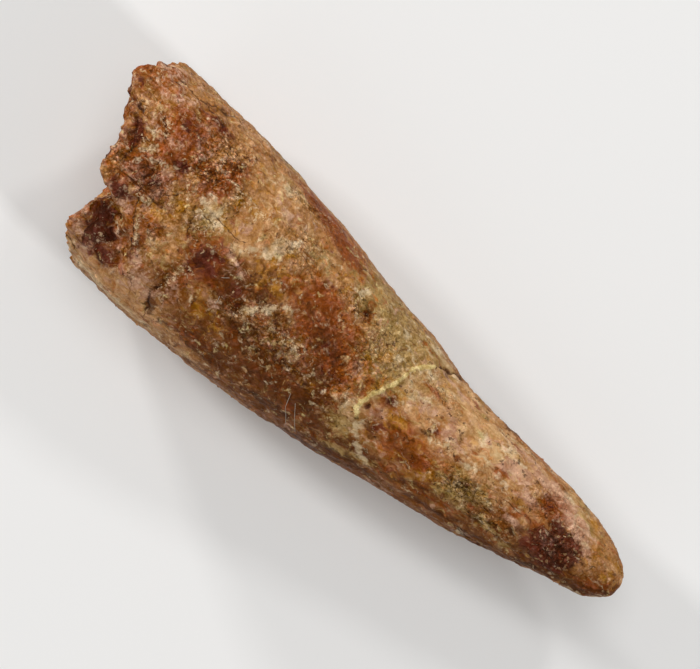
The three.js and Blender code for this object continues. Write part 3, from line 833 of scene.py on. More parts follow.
broken_face = on_end_face * (1 - smoothstep(radius_share, 0.8, 0.95))
in_filling = on_end_face * (1 - smoothstep(radius_share, *FILL_RADIUS))
for number, (stain, strength) in enumerate(END_STAINS.items()):
    blots = smoothstep(clouds(across_section, 4.5, octaves=2, seed=40 + number), 0.0, 0.5)
    fields[stain] = np.maximum(fields[stain] * (1 - broken_face), strength * blots * broken_face)
add_stain("rust", 0.55 * on_end_face * (1 - in_filling))
add_stain("ochre", 0.7 * in_filling)
sandiness = np.maximum(sandiness, 0.9 * in_filling)
print("matrix in the filling on", int((in_filling > 0.5).sum()), "points")

# %% [markdown]
# The hole goes straight down, so what lines it is laid flat, as seen from above: dark maroon,
# partly stain and partly painted shade of the hole, rust, with a line of painted shade on its rim
# towards the base, and a crumb of ochre. Painted shade, laid on as umber, also darkens the cracks
# and pits, and takes the place of the pale crumbs and the filler there.

# %% Stains and painted shade in the hole, the cracks and the break
# Dark maroon in the hole: partly stain, partly painted shade of the hole.
HOLE_MAROON_AND_SHADE = [
    (8.8, -7.9, 1.3, 1.6, 0, 1.3), (9.4, -9.4, 1.3, 1.6, 10, 1.6),
    (11.8, -11.4, 2.1, 0.9, -12, 1),
]
# Rust in the hole; the first two patches, on its rim towards the base, are a painted shade line.
HOLE_RUST_AND_EDGE_SHADE = [
    (7.2, -7.2, 0.9, 1, 0, 1), (6.7, -6.2, 0.7, 1, 0, 1.2), (11.4, -9.9, 2.6, 1.9, -25, 0.9),
]
HOLE_CRUMB = (9.2, -6.3, 0.7, 0.45, 0, 1.3)


def seen_from_above(patches, places):
    """The strongest of these patches, laid flat on the upper side."""
    field = np.zeros(len(places))
    for patch in patches:
        ahead, aside = places[:, 0] - patch[0], places[:, 1] - patch[1]
        field = np.maximum(field, patch_value(patch, ahead, aside))
    return field * (places[:, 2] > slice_at(places[:, 0])[1])


# Deep cracks and pits are darker: painted shade, laid on as umber.
crevice_shade = np.clip(crack_depth / 0.3 + pit_depth / 0.5, 0, 1)
add_stain("maroon", seen_from_above(HOLE_MAROON_AND_SHADE, shaken))
add_stain("rust", seen_from_above(HOLE_RUST_AND_EDGE_SHADE, shaken))
add_stain("ochre", seen_from_above([HOLE_CRUMB], places))
add_stain("umber", 0.65 * crevice_shade)
fields["pale"] *= 1 - crevice_shade
fields["filler"] = 1.2 * filler * (1 - crevice_shade)
print("dirt on", int((crevice_shade > 0.5).sum()), "points")

# %% [markdown]
# Last, every number that the material needs is kept on the points. "rough" says where the surface
# is gritty and where it is waxy and smooth, and steers all the finest detail: a fossil looks real
# where gritty and smooth places lie side by side. Some places are waxy whatever lies near them.

# %% Keep the numbers on the points
WAXY = [  # smooth places, where little has stuck to the dentine
    (22, 7.4, 4.5, 3, 0, 0.9), (24, 2.8, 3, 1.6, 0, 0.5), (34, -10.6, 13, 1.8, 3, 1),
    (14, -13.2, 7, 1.5, 0, 1), (55, 4.6, 7, 1.8, -3, 0.8), (60, -8.2, 13, 1.5, 8, 1),
    (8, 10.8, 6, 1, 0, 0.6), (47, 5.2, 4, 3, 0, 0.6), (53.5, -3.2, 3.4, 1.4, 0, 0.6),
    (76, 4, 5, 1.4, -12, 0.7),
]


def store(piece, name, values):
    """Keeps one number for every point of a piece, under a name that a material can read."""
    layer = piece.data.attributes.new(name, "FLOAT", "POINT")
    layer.data.foreach_set("value", np.asarray(values, dtype=np.float32))


waxy = np.clip(lay_patches(WAXY, places, angle), 0, 1)
roughest = np.maximum(np.maximum(sandiness, 0.9 * flakiness), 0.6 * ruggedness)
kept = {
    **fields,
    "sand": sandiness,
    "crack gap": crack_gap,
    "chipped gap": chipped_gap,
    "by a crack": smoothstep(np.abs(crack_gap), 5.5, 3.5),
    "by a chipped edge": smoothstep(np.abs(chipped_gap), 5.0, 3.0),
    "crown": on_crown,
    "flaky": flakiness,
    "waxy": waxy,
    "rough": roughest * (1 - 0.4 * at_sides) * (1 - 0.8 * waxy),
    # How high a place stands, lower in cracks and pits: the material darkens low places with it as
    # painted shade and lightens high ones as wear.
    "raised": np.clip(0.5 + fine_relief / 0.12 + 0.35 * flake_height - crevice_shade, 0, 1),
}
for name, values in kept.items():
    store(tooth, name, values)
print("attributes:", list(kept))

# %% [markdown]
# ## Building node trees in a script
# A material made by hand is a picture of boxes and wires. In a script the same tree reads better as
# nested calls, where each call adds one node and gives back the socket that the next one needs.

# %% Adding nodes
MM_PER_METRE = 1000


def fill_inputs(tree, node, inputs):
    """Gives each of these inputs a plain value, or a wire from a socket of another node."""
    for name, value in dict(inputs).items():
        if isinstance(value, bpy.types.NodeSocket):
            tree.links.new(value, node.inputs[name])
        else:
            node.inputs[name].default_value = value
    return node


def add(tree, kind, inputs=(), **settings):
    """Adds a node with these settings and inputs."""
    made = tree.nodes.new(kind)
    for name, value in settings.items():
        setattr(made, name, value)
    return fill_inputs(tree, made, inputs)


def calc(tree, operation, *values):
    return add(tree, "ShaderNodeMath", enumerate(values), operation=operation).outputs[0]


def product(tree, first, *others):
    for other in others:
        first = calc(tree, "MULTIPLY", first, other)
    return first


def times_plus(tree, value, factor, addend):
    return calc(tree, "MULTIPLY_ADD", value, factor, addend)


def vector_calc(tree, operation, first, second):
    """A sum or product of two vectors. With "SCALE" the second is a number."""
    inputs = {0: first, 3 if operation == "SCALE" else 1: second}
    return add(tree, "ShaderNodeVectorMath", inputs, operation=operation).outputs[0]


def mix(tree, share, under, over, blend="MIX"):
    inputs = {0: share, 6: under, 7: over}
    return add(tree, "ShaderNodeMix", inputs, data_type="RGBA", blend_type=blend).outputs[2]


def between(tree, share, start, end):
    """A value part of the way from start to end."""
    return add(tree, "ShaderNodeMix", {0: share, 2: start, 3: end}, data_type="FLOAT").outputs[0]


def span(tree, value, start, end, low=0.0, high=1.0):
    """Maps start..end of a value to low..high, smoothly."""
    inputs = {0: value, 1: start, 2: end, 3: low, 4: high}
    return add(tree, "ShaderNodeMapRange", inputs, interpolation_type="SMOOTHSTEP").outputs[0]


print("helpers for single nodes ready")

# %% [markdown]
# Two textures do nearly all the work: noise for what runs on without edges, and Voronoi cells for
# what comes in single bits, because every cell has an edge, a middle and a colour drawn by lot.

# %% Textures, painted numbers and colours


def speckle(tree, place, scale, detail=3.0, rough=0.6, layer=0.0):
    """Noise with about this many lumps to a unit of place, about 0.5 on the whole."""
    inputs = {"Vector": place, "W": layer, "Scale": scale, "Detail": detail, "Roughness": rough}
    return add(tree, "ShaderNodeTexNoise", inputs, noise_dimensions="4D").outputs["Fac"]


def shake(tree, place, scale, detail):
    """A vector that changes from place to place, about (0.5, 0.5, 0.5) on the whole."""
    inputs = {"Vector": place, "Scale": scale, "Detail": detail}
    return add(tree, "ShaderNodeTexNoise", inputs).outputs["Color"]


def cells(tree, place, scale, feature="F1"):
    inputs = {"Vector": place, "Scale": scale}
    return add(tree, "ShaderNodeTexVoronoi", inputs, feature=feature).outputs


def cell_lots(tree, these_cells):
    """Three numbers from 0 to 1, drawn by lot for each cell."""
    return add(tree, "ShaderNodeSeparateColor", {0: these_cells["Color"]}).outputs


def painted(tree, name):
    """A number that was stored on the points."""
    return add(tree, "ShaderNodeAttribute", attribute_name=name).outputs["Fac"]


def tone(red, green, blue):
    """A colour as a paint chart gives it, 0 to 255, in the linear numbers that light works in."""
    shares = [part / 255 for part in (red, green, blue)]
    linear = [((s + 0.055) / 1.055) ** 2.4 if s > 0.04 else s / 12.92 for s in shares]
    return (*linear, 1.0)


print("tan is", [round(c, 3) for c in tone(165, 115, 65)])

# %% [markdown]
# A node group is a tree with named sockets of its own, which can be placed in any material.

# %% Making and placing groups


def group(name, inputs, outputs):
    """A new shader node group with these sockets, and its two end nodes."""
    tree = bpy.data.node_groups.new(name, "ShaderNodeTree")
    kinds = {"value": "NodeSocketFloat", "colour": "NodeSocketColor", "vector": "NodeSocketVector"}
    for socket, kind in inputs.items():
        tree.interface.new_socket(socket, in_out="INPUT", socket_type=kinds[kind])
    for socket, kind in outputs.items():
        tree.interface.new_socket(socket, in_out="OUTPUT", socket_type=kinds[kind])
    return tree, tree.nodes.new("NodeGroupInput").outputs, tree.nodes.new("NodeGroupOutput").inputs


def place_group(tree, shared, inputs=()):
    made = tree.nodes.new("ShaderNodeGroup")
    made.node_tree = shared
    return fill_inputs(tree, made, inputs).outputs


print("helpers for groups ready")

# %% [markdown]
# ## One layer of stain
# Every stain is laid on in the same way, so the way is a group. It takes the colour underneath and
# the painted field, and breaks the field up with noise of its own. Where field and noise together
# pass one half, the stain shows, so a soft patch becomes a ragged one with islands round it, as a
# stain in stone does. How much of the noise is let in is the input "Ragged": a wash has little of
# it. A second noise runs the stain's colour between a dark and a light tone.
#
# The noise has a fourth number besides its place, and every layer gets another one. That is what
# keeps two stains from having their edges in the same places.

# %% The stain layer group
STAIN_EDGE = 0.28  # how soft the ragged edge is
BREAKUP = 3.2  # how far the noise moves a stain's edge


def stain_layer_group():
    inputs = {
        "Under": "colour", "Field": "value", "Place": "vector", "Fine": "value", "Layer": "value",
        "Ragged": "value", "Dark": "colour", "Light": "colour", "Cover": "value",
    }
    tree, given, result = group("stain layer", inputs, {"Colour": "colour"})
    breakup = speckle(tree, given["Place"], 0.9, detail=4, rough=0.58, layer=given["Layer"])
    breakup = times_plus(tree, breakup, BREAKUP, -BREAKUP / 2)
    breakup = times_plus(tree, given["Fine"], 0.8, breakup)
    amount = times_plus(tree, breakup, given["Ragged"], given["Field"])
    shown = span(tree, amount, 0.5 - STAIN_EDGE, 0.5 + STAIN_EDGE)
    shown = calc(tree, "MULTIPLY", shown, given["Cover"])
    other_layer = calc(tree, "ADD", given["Layer"], 0.5)
    tones = speckle(tree, given["Place"], 0.9, detail=3, rough=0.55, layer=other_layer)
    tone_share = span(tree, times_plus(tree, given["Fine"], 0.2, tones), 0.3, 0.7)
    stain = mix(tree, tone_share, given["Dark"], given["Light"])
    tree.links.new(mix(tree, shown, given["Under"], stain), result["Colour"])
    return tree


stain_layer = stain_layer_group()
print("made", stain_layer.name)

# %% [markdown]
# ## Specks
# Much of the surface is smooth and waxy, with single specks in it: little pits where a grain has
# fallen out, and little grains that still sit there. A speck is the middle of a Voronoi cell, in a
# space that noise has shaken, so that it is not quite round. Each cell draws three numbers by lot:
# whether it keeps its speck, how big the speck is and how strong. Only the cells whose number is
# under the density keep theirs, so one group makes few specks in one place and many in another.

# %% The speck group


def speck_group():
    inputs = {"Place": "vector", "Scale": "value", "Size": "value", "Density": "value"}
    tree, given, result = group("specks", inputs, {"Mask": "value"})
    push = vector_calc(tree, "SCALE", shake(tree, given["Place"], 2.4, 1.0), 0.9)
    these_cells = cells(tree, vector_calc(tree, "ADD", given["Place"], push), given["Scale"])
    keep, big, strong = cell_lots(tree, these_cells)
    size = calc(tree, "MULTIPLY", times_plus(tree, big, 1.0, 0.35), given["Size"])
    inside = calc(tree, "SUBTRACT", 1, calc(tree, "DIVIDE", these_cells["Distance"], size))
    is_there = calc(tree, "LESS_THAN", keep, given["Density"])
    strength = calc(tree, "MULTIPLY", is_there, times_plus(tree, strong, 0.6, 0.5))
    tree.links.new(calc(tree, "MULTIPLY", span(tree, inside, 0, 0.45), strength), result["Mask"])
    return tree


specks = speck_group()
print("made", specks.name)

# %% [markdown]
# ## The surface of the fossil
# The tooth and the sand on it share one group, because the sand took the same stains from the same
# water. The next cells make its effects one by one, from the widest to the smallest, and the last
# of them puts them together. They all read the same things: the place, some noises, and the numbers
# painted on the points.
#
# Positions are the object's own, in millimetres, so a noise scale of 1 means one lump to a
# millimetre, and the pattern stays on the tooth from every side. `warped` is the place pushed about
# by noise, and `grown` is also drawn out along the fibres of the crown.

# %% What the effects read
FIBRE_STRETCH = 0.5  # how much longer along than across the marks on the crown are
DRIFT = 2.0  # mm
GRAIN_SCALE = 3.0  # grains to a millimetre


def pattern_places(tree):
    metres = add(tree, "ShaderNodeTexCoord").outputs["Object"]
    place = vector_calc(tree, "SCALE", metres, MM_PER_METRE)
    centred = vector_calc(tree, "SUBTRACT", shake(tree, place, 0.7, 2.0), (0.5, 0.5, 0.5))
    warped = vector_calc(tree, "ADD", place, vector_calc(tree, "SCALE", centred, DRIFT))
    shrink = times_plus(tree, painted(tree, "crown"), -FIBRE_STRETCH, 1)
    along_fibres = add(tree, "ShaderNodeCombineXYZ", {0: shrink, 1: 1.0, 2: 1.0}).outputs[0]
    return place, warped, vector_calc(tree, "MULTIPLY", warped, along_fibres)


def read_surface(tree):
    """The places, noises and painted numbers that the effects share."""
    place, warped, grown = pattern_places(tree)
    here = SimpleNamespace(place=place, warped=warped, grown=grown)
    for name in ("crown", "sand", "raised", "flaky"):
        setattr(here, name, painted(tree, name))
    here.broad = speckle(tree, warped, 0.25, detail=3)
    here.blotch = speckle(tree, grown, 1.1, detail=5, rough=0.7)
    here.fine = speckle(tree, place, 2.2, detail=3, rough=0.7)
    here.fine_push = times_plus(tree, here.fine, 0.8, -0.4)
    here.grain = cells(tree, place, GRAIN_SCALE)
    here.grain_lot = cell_lots(tree, here.grain)[0]
    # Rough places and smooth ones: some are painted, and noise adds a part of the rest.
    patchy = speckle(tree, warped, 0.45, detail=2, layer=20.0)
    patchy = span(tree, patchy, 0.48, 0.7, 0.0, 0.35)
    here.not_waxy = times_plus(tree, painted(tree, "waxy"), -0.8, 1)
    patchy = calc(tree, "MULTIPLY", patchy, here.not_waxy)
    here.rough = calc(tree, "MAXIMUM", painted(tree, "rough"), patchy)
    return here


print("painted numbers to read:", len(kept))

# %% [markdown]
# The stone under the stains is a mottled tan, and the stains lie on it in the order of this list:
# the soft washes first, then the ragged ones, broadly from light to dark, and the pale crumbs and
# the filler on top.

# %% The stains' colours
# Besides stains, brown, umber and sallow carry painted shade on the crown's lower edge, and sallow,
# cream, pale and buff carry painted light on the edges.
LAYERS = [  # stain, dark tone, light tone, how much it covers, how ragged its edge is
    ("buff", tone(168, 114, 66), tone(204, 156, 106), 0.85, 0.4),
    ("sallow", tone(130, 98, 46), tone(180, 146, 90), 0.85, 0.4),
    ("russet", tone(118, 55, 16), tone(162, 90, 43), 0.85, 0.4),
    ("brown", tone(86, 42, 7), tone(124, 70, 25), 0.9, 0.4),
    ("cream", tone(166, 118, 70), tone(210, 169, 121), 0.75, 1.0),
    ("olive", tone(120, 90, 42), tone(180, 146, 90), 0.8, 1.0),
    ("ochre", tone(134, 82, 18), tone(186, 130, 52), 0.8, 1.0),
    ("orange", tone(140, 68, 18), tone(198, 118, 54), 0.8, 1.0),
    ("flesh", tone(150, 99, 74), tone(205, 161, 132), 0.8, 1.0),
    ("rust", tone(90, 36, 3), tone(146, 71, 20), 0.8, 1.0),
    ("umber", tone(46, 20, 0), tone(96, 49, 11), 0.8, 1.0),
    ("maroon", tone(48, 14, 5), tone(100, 41, 23), 0.92, 0.8),
    ("pale", tone(180, 148, 102), tone(230, 208, 170), 0.6, 1.0),
    ("filler", tone(186, 152, 86), tone(232, 208, 144), 0.9, 0.8),
]
TAN_DARK, TAN_LIGHT = tone(132, 82, 40), tone(188, 136, 84)


def stained(tree, here):
    """The colour of the stone with all its stains."""
    share = times_plus(tree, here.broad, 0.7, times_plus(tree, here.blotch, 0.8, -0.25))
    share = times_plus(tree, here.fine_push, 0.3, share)
    colour = mix(tree, span(tree, share, 0.25, 0.75), TAN_DARK, TAN_LIGHT)
    for number, (stain, dark, light, cover, ragged) in enumerate(LAYERS):
        inputs = {
            "Under": colour, "Field": painted(tree, stain), "Place": here.grown,
            "Fine": here.fine_push, "Layer": float(number), "Dark": dark, "Light": light,
            "Cover": cover, "Ragged": ragged,
        }
        colour = place_group(tree, stain_layer, inputs)["Colour"]
    return colour


print(len(LAYERS), "stains in order:", ", ".join(layer[0] for layer in LAYERS))

# %% [markdown]
# Where the dentine has crumbled, each flake has a tone of its own, and short dark cracks run
# between larger pieces. Such a net of cracks is called crazing. A finer one comes and goes in all
# rough places, along the flakes' own edges.

# %% Flakes and crazing
CRAZING_COLOUR = tone(70, 32, 10)


def flaked(tree, here, colour):
    tones = span(tree, cell_lots(tree, cells(tree, here.warped, 1.1))[0], 0, 1, 0.76, 1.26)
    return mix(tree, calc(tree, "MULTIPLY", here.flaky, 0.9), colour, tones, "MULTIPLY")


def crazing_mask(tree, here):
    edges = cells(tree, here.warped, 0.5, "DISTANCE_TO_EDGE")["Distance"]
    broken_up = span(tree, times_plus(tree, here.flaky, 0.3, here.blotch), 0.62, 0.8)
    wide = product(tree, broken_up, here.flaky, span(tree, edges, 0.01, 0.07, 1, 0))
    edges = cells(tree, here.warped, 1.1, "DISTANCE_TO_EDGE")["Distance"]
    here_and_there = span(tree, times_plus(tree, here.rough, 0.12, here.broad), 0.5, 0.64)
    fine = product(tree, span(tree, edges, 0.02, 0.12, 1, 0), here_and_there, here.rough)
    return calc(tree, "MAXIMUM", wide, calc(tree, "MULTIPLY", fine, 0.6))


print("flakes and crazing ready")

# %% [markdown]
# Where sand is cemented to the tooth, every grain has its own shade, a few are dark and a few are
# clear quartz, which also stands in for glints as a painted highlight, and the gaps between the
# grains are darkened as painted shade.

# %% Cemented sand
DARK_BELOW, QUARTZ_AND_GLINT_ABOVE = 0.1, 0.9  # of the number that a grain draws by lot
DARK_GRAIN, QUARTZ_AND_GLINT = tone(50, 24, 8), tone(208, 172, 124)


def sanded(tree, here, colour):
    lot = here.grain_lot
    # Darker in the gaps between the grains: painted shade.
    gap = span(tree, here.grain["Distance"], 0.3, 0.65, 1.0, 0.6)
    light = calc(tree, "MULTIPLY", span(tree, lot, 0, 1, 0.78, 1.38), gap)
    sandy = mix(tree, 1.0, colour, light, "MULTIPLY")
    # Pale quartz grains, which also stand in for glints: painted highlight.
    is_quartz_and_glint = span(tree, lot, QUARTZ_AND_GLINT_ABOVE, QUARTZ_AND_GLINT_ABOVE + 0.06, 0, 0.45)
    sandy = mix(tree, is_quartz_and_glint, sandy, QUARTZ_AND_GLINT)
    is_dark = span(tree, lot, DARK_BELOW, DARK_BELOW - 0.06, 0, 0.6)
    sandy = mix(tree, is_dark, sandy, DARK_GRAIN)
    return mix(tree, calc(tree, "MULTIPLY", here.sand, 0.95), colour, sandy)


print("sand ready")

# %% [markdown]
# The stone itself is mottled, painted shade darkens the low places and wear brightens the high
# ones. All three are shades, which are multiplied into one before they touch the colour. What they
# make lighter is also paler, and what they make darker is stronger in colour, as dry stone is where
# it is scuffed and where it is not.

# %% Mottling, wear and painted shade


def shaded(tree, here, colour):
    mottle = speckle(tree, here.grown, 1.3, detail=2.5, rough=0.6, layer=30.0)
    mottle = span(tree, mottle, 0.32, 0.68, 0.83, 1.18)
    fine_mottle = span(tree, here.fine, 0.32, 0.68, 0.52, 1.54)
    fine_mottle = between(tree, times_plus(tree, here.rough, 0.9, 0.05), 1.0, fine_mottle)
    # Wear lightens the high places; the low ones, cracks and pits too, get painted shade.
    wear_and_low_shade = span(tree, here.raised, 0, 1, 0.68, 1.24)
    wear_and_low_shade = between(tree, times_plus(tree, here.rough, 0.7, 0.15), 1.0, wear_and_low_shade)
    shade = product(tree, mottle, fine_mottle, wear_and_low_shade)
    colour = mix(tree, 1.0, colour, shade, "MULTIPLY")
    inputs = {"Color": colour, "Saturation": times_plus(tree, shade, -0.3, 1.3)}
    return add(tree, "ShaderNodeHueSaturation", inputs).outputs["Color"]


print("mottling and wear ready")

# %% [markdown]
# The drawn cracks are dark, and the chipped edges of flakes are rows of pale crumbs; one row near
# the rim, from (6.8, 5.6) to (8, 4.4), is a painted glint. Both come from the signed gaps on the
# points: where the gap is about zero, there is the line. Noise comes and goes along them, because
# no real crack is equally open everywhere.

# %% Drawn cracks and chipped edges
CRACK_COLOUR, CRUMB_AND_GLINT_COLOUR = tone(52, 22, 8), tone(228, 196, 154)


def lined(tree, here, colour):
    coming_and_going = speckle(tree, here.place, 1.3, detail=2, layer=40.0)
    gap = calc(tree, "ABSOLUTE", times_plus(tree, here.fine_push, 1.4, painted(tree, "crack gap")))
    line = calc(tree, "MULTIPLY", span(tree, gap, 0.2, 1.0, 1, 0), painted(tree, "by a crack"))
    line = calc(tree, "MULTIPLY", line, span(tree, coming_and_going, 0.38, 0.56, 0.2, 1))
    colour = mix(tree, calc(tree, "MULTIPLY", line, 0.75), colour, CRACK_COLOUR)

    crumbs = speckle(tree, here.place, 2.6, detail=2, rough=0.7, layer=41.0)
    gap = calc(tree, "ABSOLUTE", times_plus(tree, here.fine_push, 5, painted(tree, "chipped gap")))
    near = painted(tree, "by a chipped edge")
    chips = product(tree, span(tree, gap, 0.5, 2.4, 1, 0), near, span(tree, crumbs, 0.5, 0.6))
    return mix(tree, calc(tree, "MULTIPLY", chips, 0.72), colour, CRUMB_AND_GLINT_COLOUR)


print("drawn lines ready")

# %% [markdown]
# Single pits are darkened with painted shade, and single grains are pale, partly as grains and
# partly as painted glints. There are more of them in rough places, and a few more on the crown, and
# hardly any where the surface is waxy.

# %% Single pits and grains
# Pit colour: painted shade. Grain colour: pale grains, partly painted glints.
PIT_SHADE_COLOUR, GRAIN_AND_GLINT_COLOUR = tone(58, 28, 8), tone(232, 196, 150)


def specked(tree, here, colour):
    """The colour with painted shade in its pits and pale grains that also serve as glints, and the
    masks of the two.
    """
    density = times_plus(tree, here.rough, 0.44, 0.02)
    density = calc(tree, "MULTIPLY", times_plus(tree, here.crown, 0.12, density), here.not_waxy)
    inputs = {"Place": here.place, "Scale": 1.9, "Size": 0.42, "Density": density}
    pits = place_group(tree, specks, inputs)["Mask"]
    density = calc(tree, "MULTIPLY", density, 0.7)
    inputs = {"Place": here.warped, "Scale": 2.1, "Size": 0.36, "Density": density}
    grains = place_group(tree, specks, inputs)["Mask"]
    colour = mix(tree, calc(tree, "MULTIPLY", pits, 0.62), colour, PIT_SHADE_COLOUR)
    bright = mix(tree, 0.55, colour, GRAIN_AND_GLINT_COLOUR)
    return mix(tree, calc(tree, "MULTIPLY", grains, 0.75), colour, bright), pits, grains


print("pits and grains ready")

# %% [markdown]
# The bump gets its height from the same grains, pits and noises as the colour, so that what looks
# like a pit is one. The gloss comes and goes with the blotches of the colour, and a few grains of
# cemented sand are glossier than the others.

# %% Height and roughness


def surface_height(tree, here, crazing, pits, grains):
    pebbles = calc(tree, "SUBTRACT", 1, here.grain["Distance"])
    pebbles = calc(tree, "MULTIPLY", pebbles, times_plus(tree, here.sand, 0.75, 0.25))
    fine = calc(tree, "MULTIPLY", here.fine, times_plus(tree, here.rough, 0.85, 0.1))
    height = times_plus(tree, pebbles, 0.9, fine)
    height = times_plus(tree, here.blotch, 0.5, height)
    height = times_plus(tree, pits, -0.7, height)
    height = times_plus(tree, grains, 0.5, height)
    return times_plus(tree, crazing, -0.8, height)


def surface_roughness(tree, here):
    stone = span(tree, here.blotch, 0.35, 0.7, 0.38, 0.68)
    grit = span(tree, here.grain_lot, 0.75, 0.95, 0.8, 0.35)
    return between(tree, here.sand, stone, grit)


print("height and roughness ready")

# %% The fossil surface group


def fossil_surface_group():
    outputs = {"Colour": "colour", "Roughness": "value", "Height": "value"}
    tree, given, result = group("fossil surface", {"Grain Shade": "value"}, outputs)
    here = read_surface(tree)
    crazing = crazing_mask(tree, here)
    colour = flaked(tree, here, stained(tree, here))
    colour = mix(tree, calc(tree, "MULTIPLY", crazing, 0.7), colour, CRAZING_COLOUR)
    colour = shaded(tree, here, sanded(tree, here, colour))
    colour, pits, grains = specked(tree, here, lined(tree, here, colour))
    colour = mix(tree, 1.0, colour, given["Grain Shade"], "MULTIPLY")
    tree.links.new(colour, result["Colour"])
    tree.links.new(surface_roughness(tree, here), result["Roughness"])
    tree.links.new(surface_height(tree, here, crazing, pits, grains), result["Height"])
    return tree


fossil_surface = fossil_surface_group()
print("made", fossil_surface.name, "with", len(fossil_surface.nodes), "nodes")

# %% [markdown]
# ## The two materials
# The shader itself stays outside the group. Dentine that has turned to stone is a little waxy, so
# its roughness is moderate and its specular reflection weak: a dry fossil has a soft sheen and no
# highlights. The sand has the same surface with a lower bump, and a shade for each grain which the
# scattering below stores on it.

# %% Tooth and sand materials
SHEEN = 0.08  # specular level


def fossil_material(name, bump_mm, grain_shade_from=None):
    material = bpy.data.materials.new(name)
    material.use_nodes = True
    tree = material.node_tree
    shader = tree.nodes["Principled BSDF"]
    shade = 1.0
    if grain_shade_from:
        shade = span(tree, painted(tree, grain_shade_from), 0, 1, 0.7, 1.35)
    surface = place_group(tree, fossil_surface, {"Grain Shade": shade})
    inputs = {"Height": surface["Height"], "Distance": bump_mm * MM, "Strength": 1.0}
    bump = add(tree, "ShaderNodeBump", inputs).outputs["Normal"]
    inputs = {"Base Color": surface["Colour"], "Roughness": surface["Roughness"], "Normal": bump}
    fill_inputs(tree, shader, inputs)
    shader.inputs["Specular IOR Level"].default_value = SHEEN
    return material


tooth_material = fossil_material("fossil_dentine", bump_mm=0.24)
sand_material = fossil_material("cemented_sand", bump_mm=0.05, grain_shade_from="grain_shade")
tooth.data.materials.append(tooth_material)
for polygon in tooth.data.polygons:
    polygon.use_smooth = True
print("materials:", tooth_material.name, sand_material.name)

# %% [markdown]
# ## Sand grains
# Sand is the same small thing many times, so Geometry Nodes scatter it. Points fall on the skin,
# more of them where the painted sand is strong. Each point gets a lump with its own size, turn and
# shade. The points carry the stains of the place they fell on, so every grain matches what is
# under it. The tree ends by turning the instances into real mesh, and the result is copied out as a
# plain object.

# %% The scattering tree
GRAIN_SINK = 0.35  # share of the radius by which a grain sits in the surface
SAND_SOCKETS = {
    "Surface": "Geometry", "Grain Radius": "Float", "Grains per Area": "Float", "Seed": "Int",
}
LEAST_AND_MOST = {  # of what every grain draws by lot
    "turn": ((0, 0, 0), (6.28, 6.28, 6.28)),
    "shape": ((0.6, 0.6, 0.5), (1.25, 1.1, 0.95)),
    "size": (0.0, 1.0),
    "shade": (0.0, 1.0),
}


def by_lot(tree, what):
    """A number or a vector that every grain draws for itself."""
    least, most = LEAST_AND_MOST[what]
    seed = 1 + list(LEAST_AND_MOST).index(what)
    if isinstance(least, tuple):
        inputs, kind, output = {0: least, 1: most, "Seed": seed}, "FLOAT_VECTOR", 0
    else:
        inputs, kind, output = {2: least, 3: most, "Seed": seed}, "FLOAT", 1
    return add(tree, "FunctionNodeRandomValue", inputs, data_type=kind).outputs[output]


def grain_points(tree, given):
    """Points on the surface, by its "sand" attribute, let into it a little."""
    sand = add(tree, "GeometryNodeInputNamedAttribute", {"Name": "sand"}, data_type="FLOAT")
    crust = calc(tree, "POWER", sand.outputs["Attribute"], 1.5)
    density = calc(tree, "MULTIPLY", calc(tree, "ADD", crust, 0.03), given["Grains per Area"])
    inputs = {"Mesh": given["Surface"], "Density": density, "Seed": given["Seed"]}
    points = add(tree, "GeometryNodeDistributePointsOnFaces", inputs).outputs
    sink = calc(tree, "MULTIPLY", given["Grain Radius"], -GRAIN_SINK)
    offset = vector_calc(tree, "SCALE", points["Normal"], sink)
    inputs = {"Geometry": points["Points"], "Offset": offset}
    return add(tree, "GeometryNodeSetPosition", inputs).outputs[0]


def scatter_tree():
    """Geometry nodes that cover a surface with lumps."""
    tree = bpy.data.node_groups.new("scatter sand", "GeometryNodeTree")
    for name, kind in SAND_SOCKETS.items():
        tree.interface.new_socket(name, in_out="INPUT", socket_type=f"NodeSocket{kind}")
    tree.interface.new_socket("Grains", in_out="OUTPUT", socket_type="NodeSocketGeometry")
    given = tree.nodes.new("NodeGroupInput").outputs
    result = tree.nodes.new("NodeGroupOutput").inputs

    points = grain_points(tree, given)
    lump = add(tree, "GeometryNodeMeshIcoSphere", {"Radius": 1.0, "Subdivisions": 1}).outputs[0]
    spread = times_plus(tree, calc(tree, "POWER", by_lot(tree, "size"), 2.0), 0.9, 0.65)
    size = calc(tree, "MULTIPLY", spread, given["Grain Radius"])
    scale = vector_calc(tree, "SCALE", by_lot(tree, "shape"), size)
    turn = by_lot(tree, "turn")
    inputs = {"Points": points, "Instance": lump, "Scale": scale, "Rotation": turn}
    grains = add(tree, "GeometryNodeInstanceOnPoints", inputs).outputs[0]
    inputs = {"Geometry": grains, "Name": "grain_shade", "Value": by_lot(tree, "shade")}
    settings = {"data_type": "FLOAT", "domain": "INSTANCE"}
    shades = add(tree, "GeometryNodeStoreNamedAttribute", inputs, **settings).outputs[0]
    real = add(tree, "GeometryNodeRealizeInstances", {"Geometry": shades}).outputs[0]
    inputs = {"Geometry": real, "Material": sand_material}
    tree.links.new(add(tree, "GeometryNodeSetMaterial", inputs).outputs[0], result["Grains"])
    return tree


sand_tree = scatter_tree()
print("made", sand_tree.name, "with", len(sand_tree.nodes), "nodes")

# %% Scatter the sand
SAND_INPUTS = {"Grain Radius": 0.16 * MM, "Grains per Area": 3.2 / MM**2, "Seed": 11}


def scatter(surface, name, tree, values):
    """A new object with what a scattering tree puts on a surface."""
    made = new_object(name, surface.data.copy())
    modifier = made.modifiers.new("scatter", "NODES")
    modifier.node_group = tree
    for item in tree.interface.items_tree:
        if item.name in values:
            modifier[item.identifier] = values[item.name]
    apply_modifiers(made)
    return made


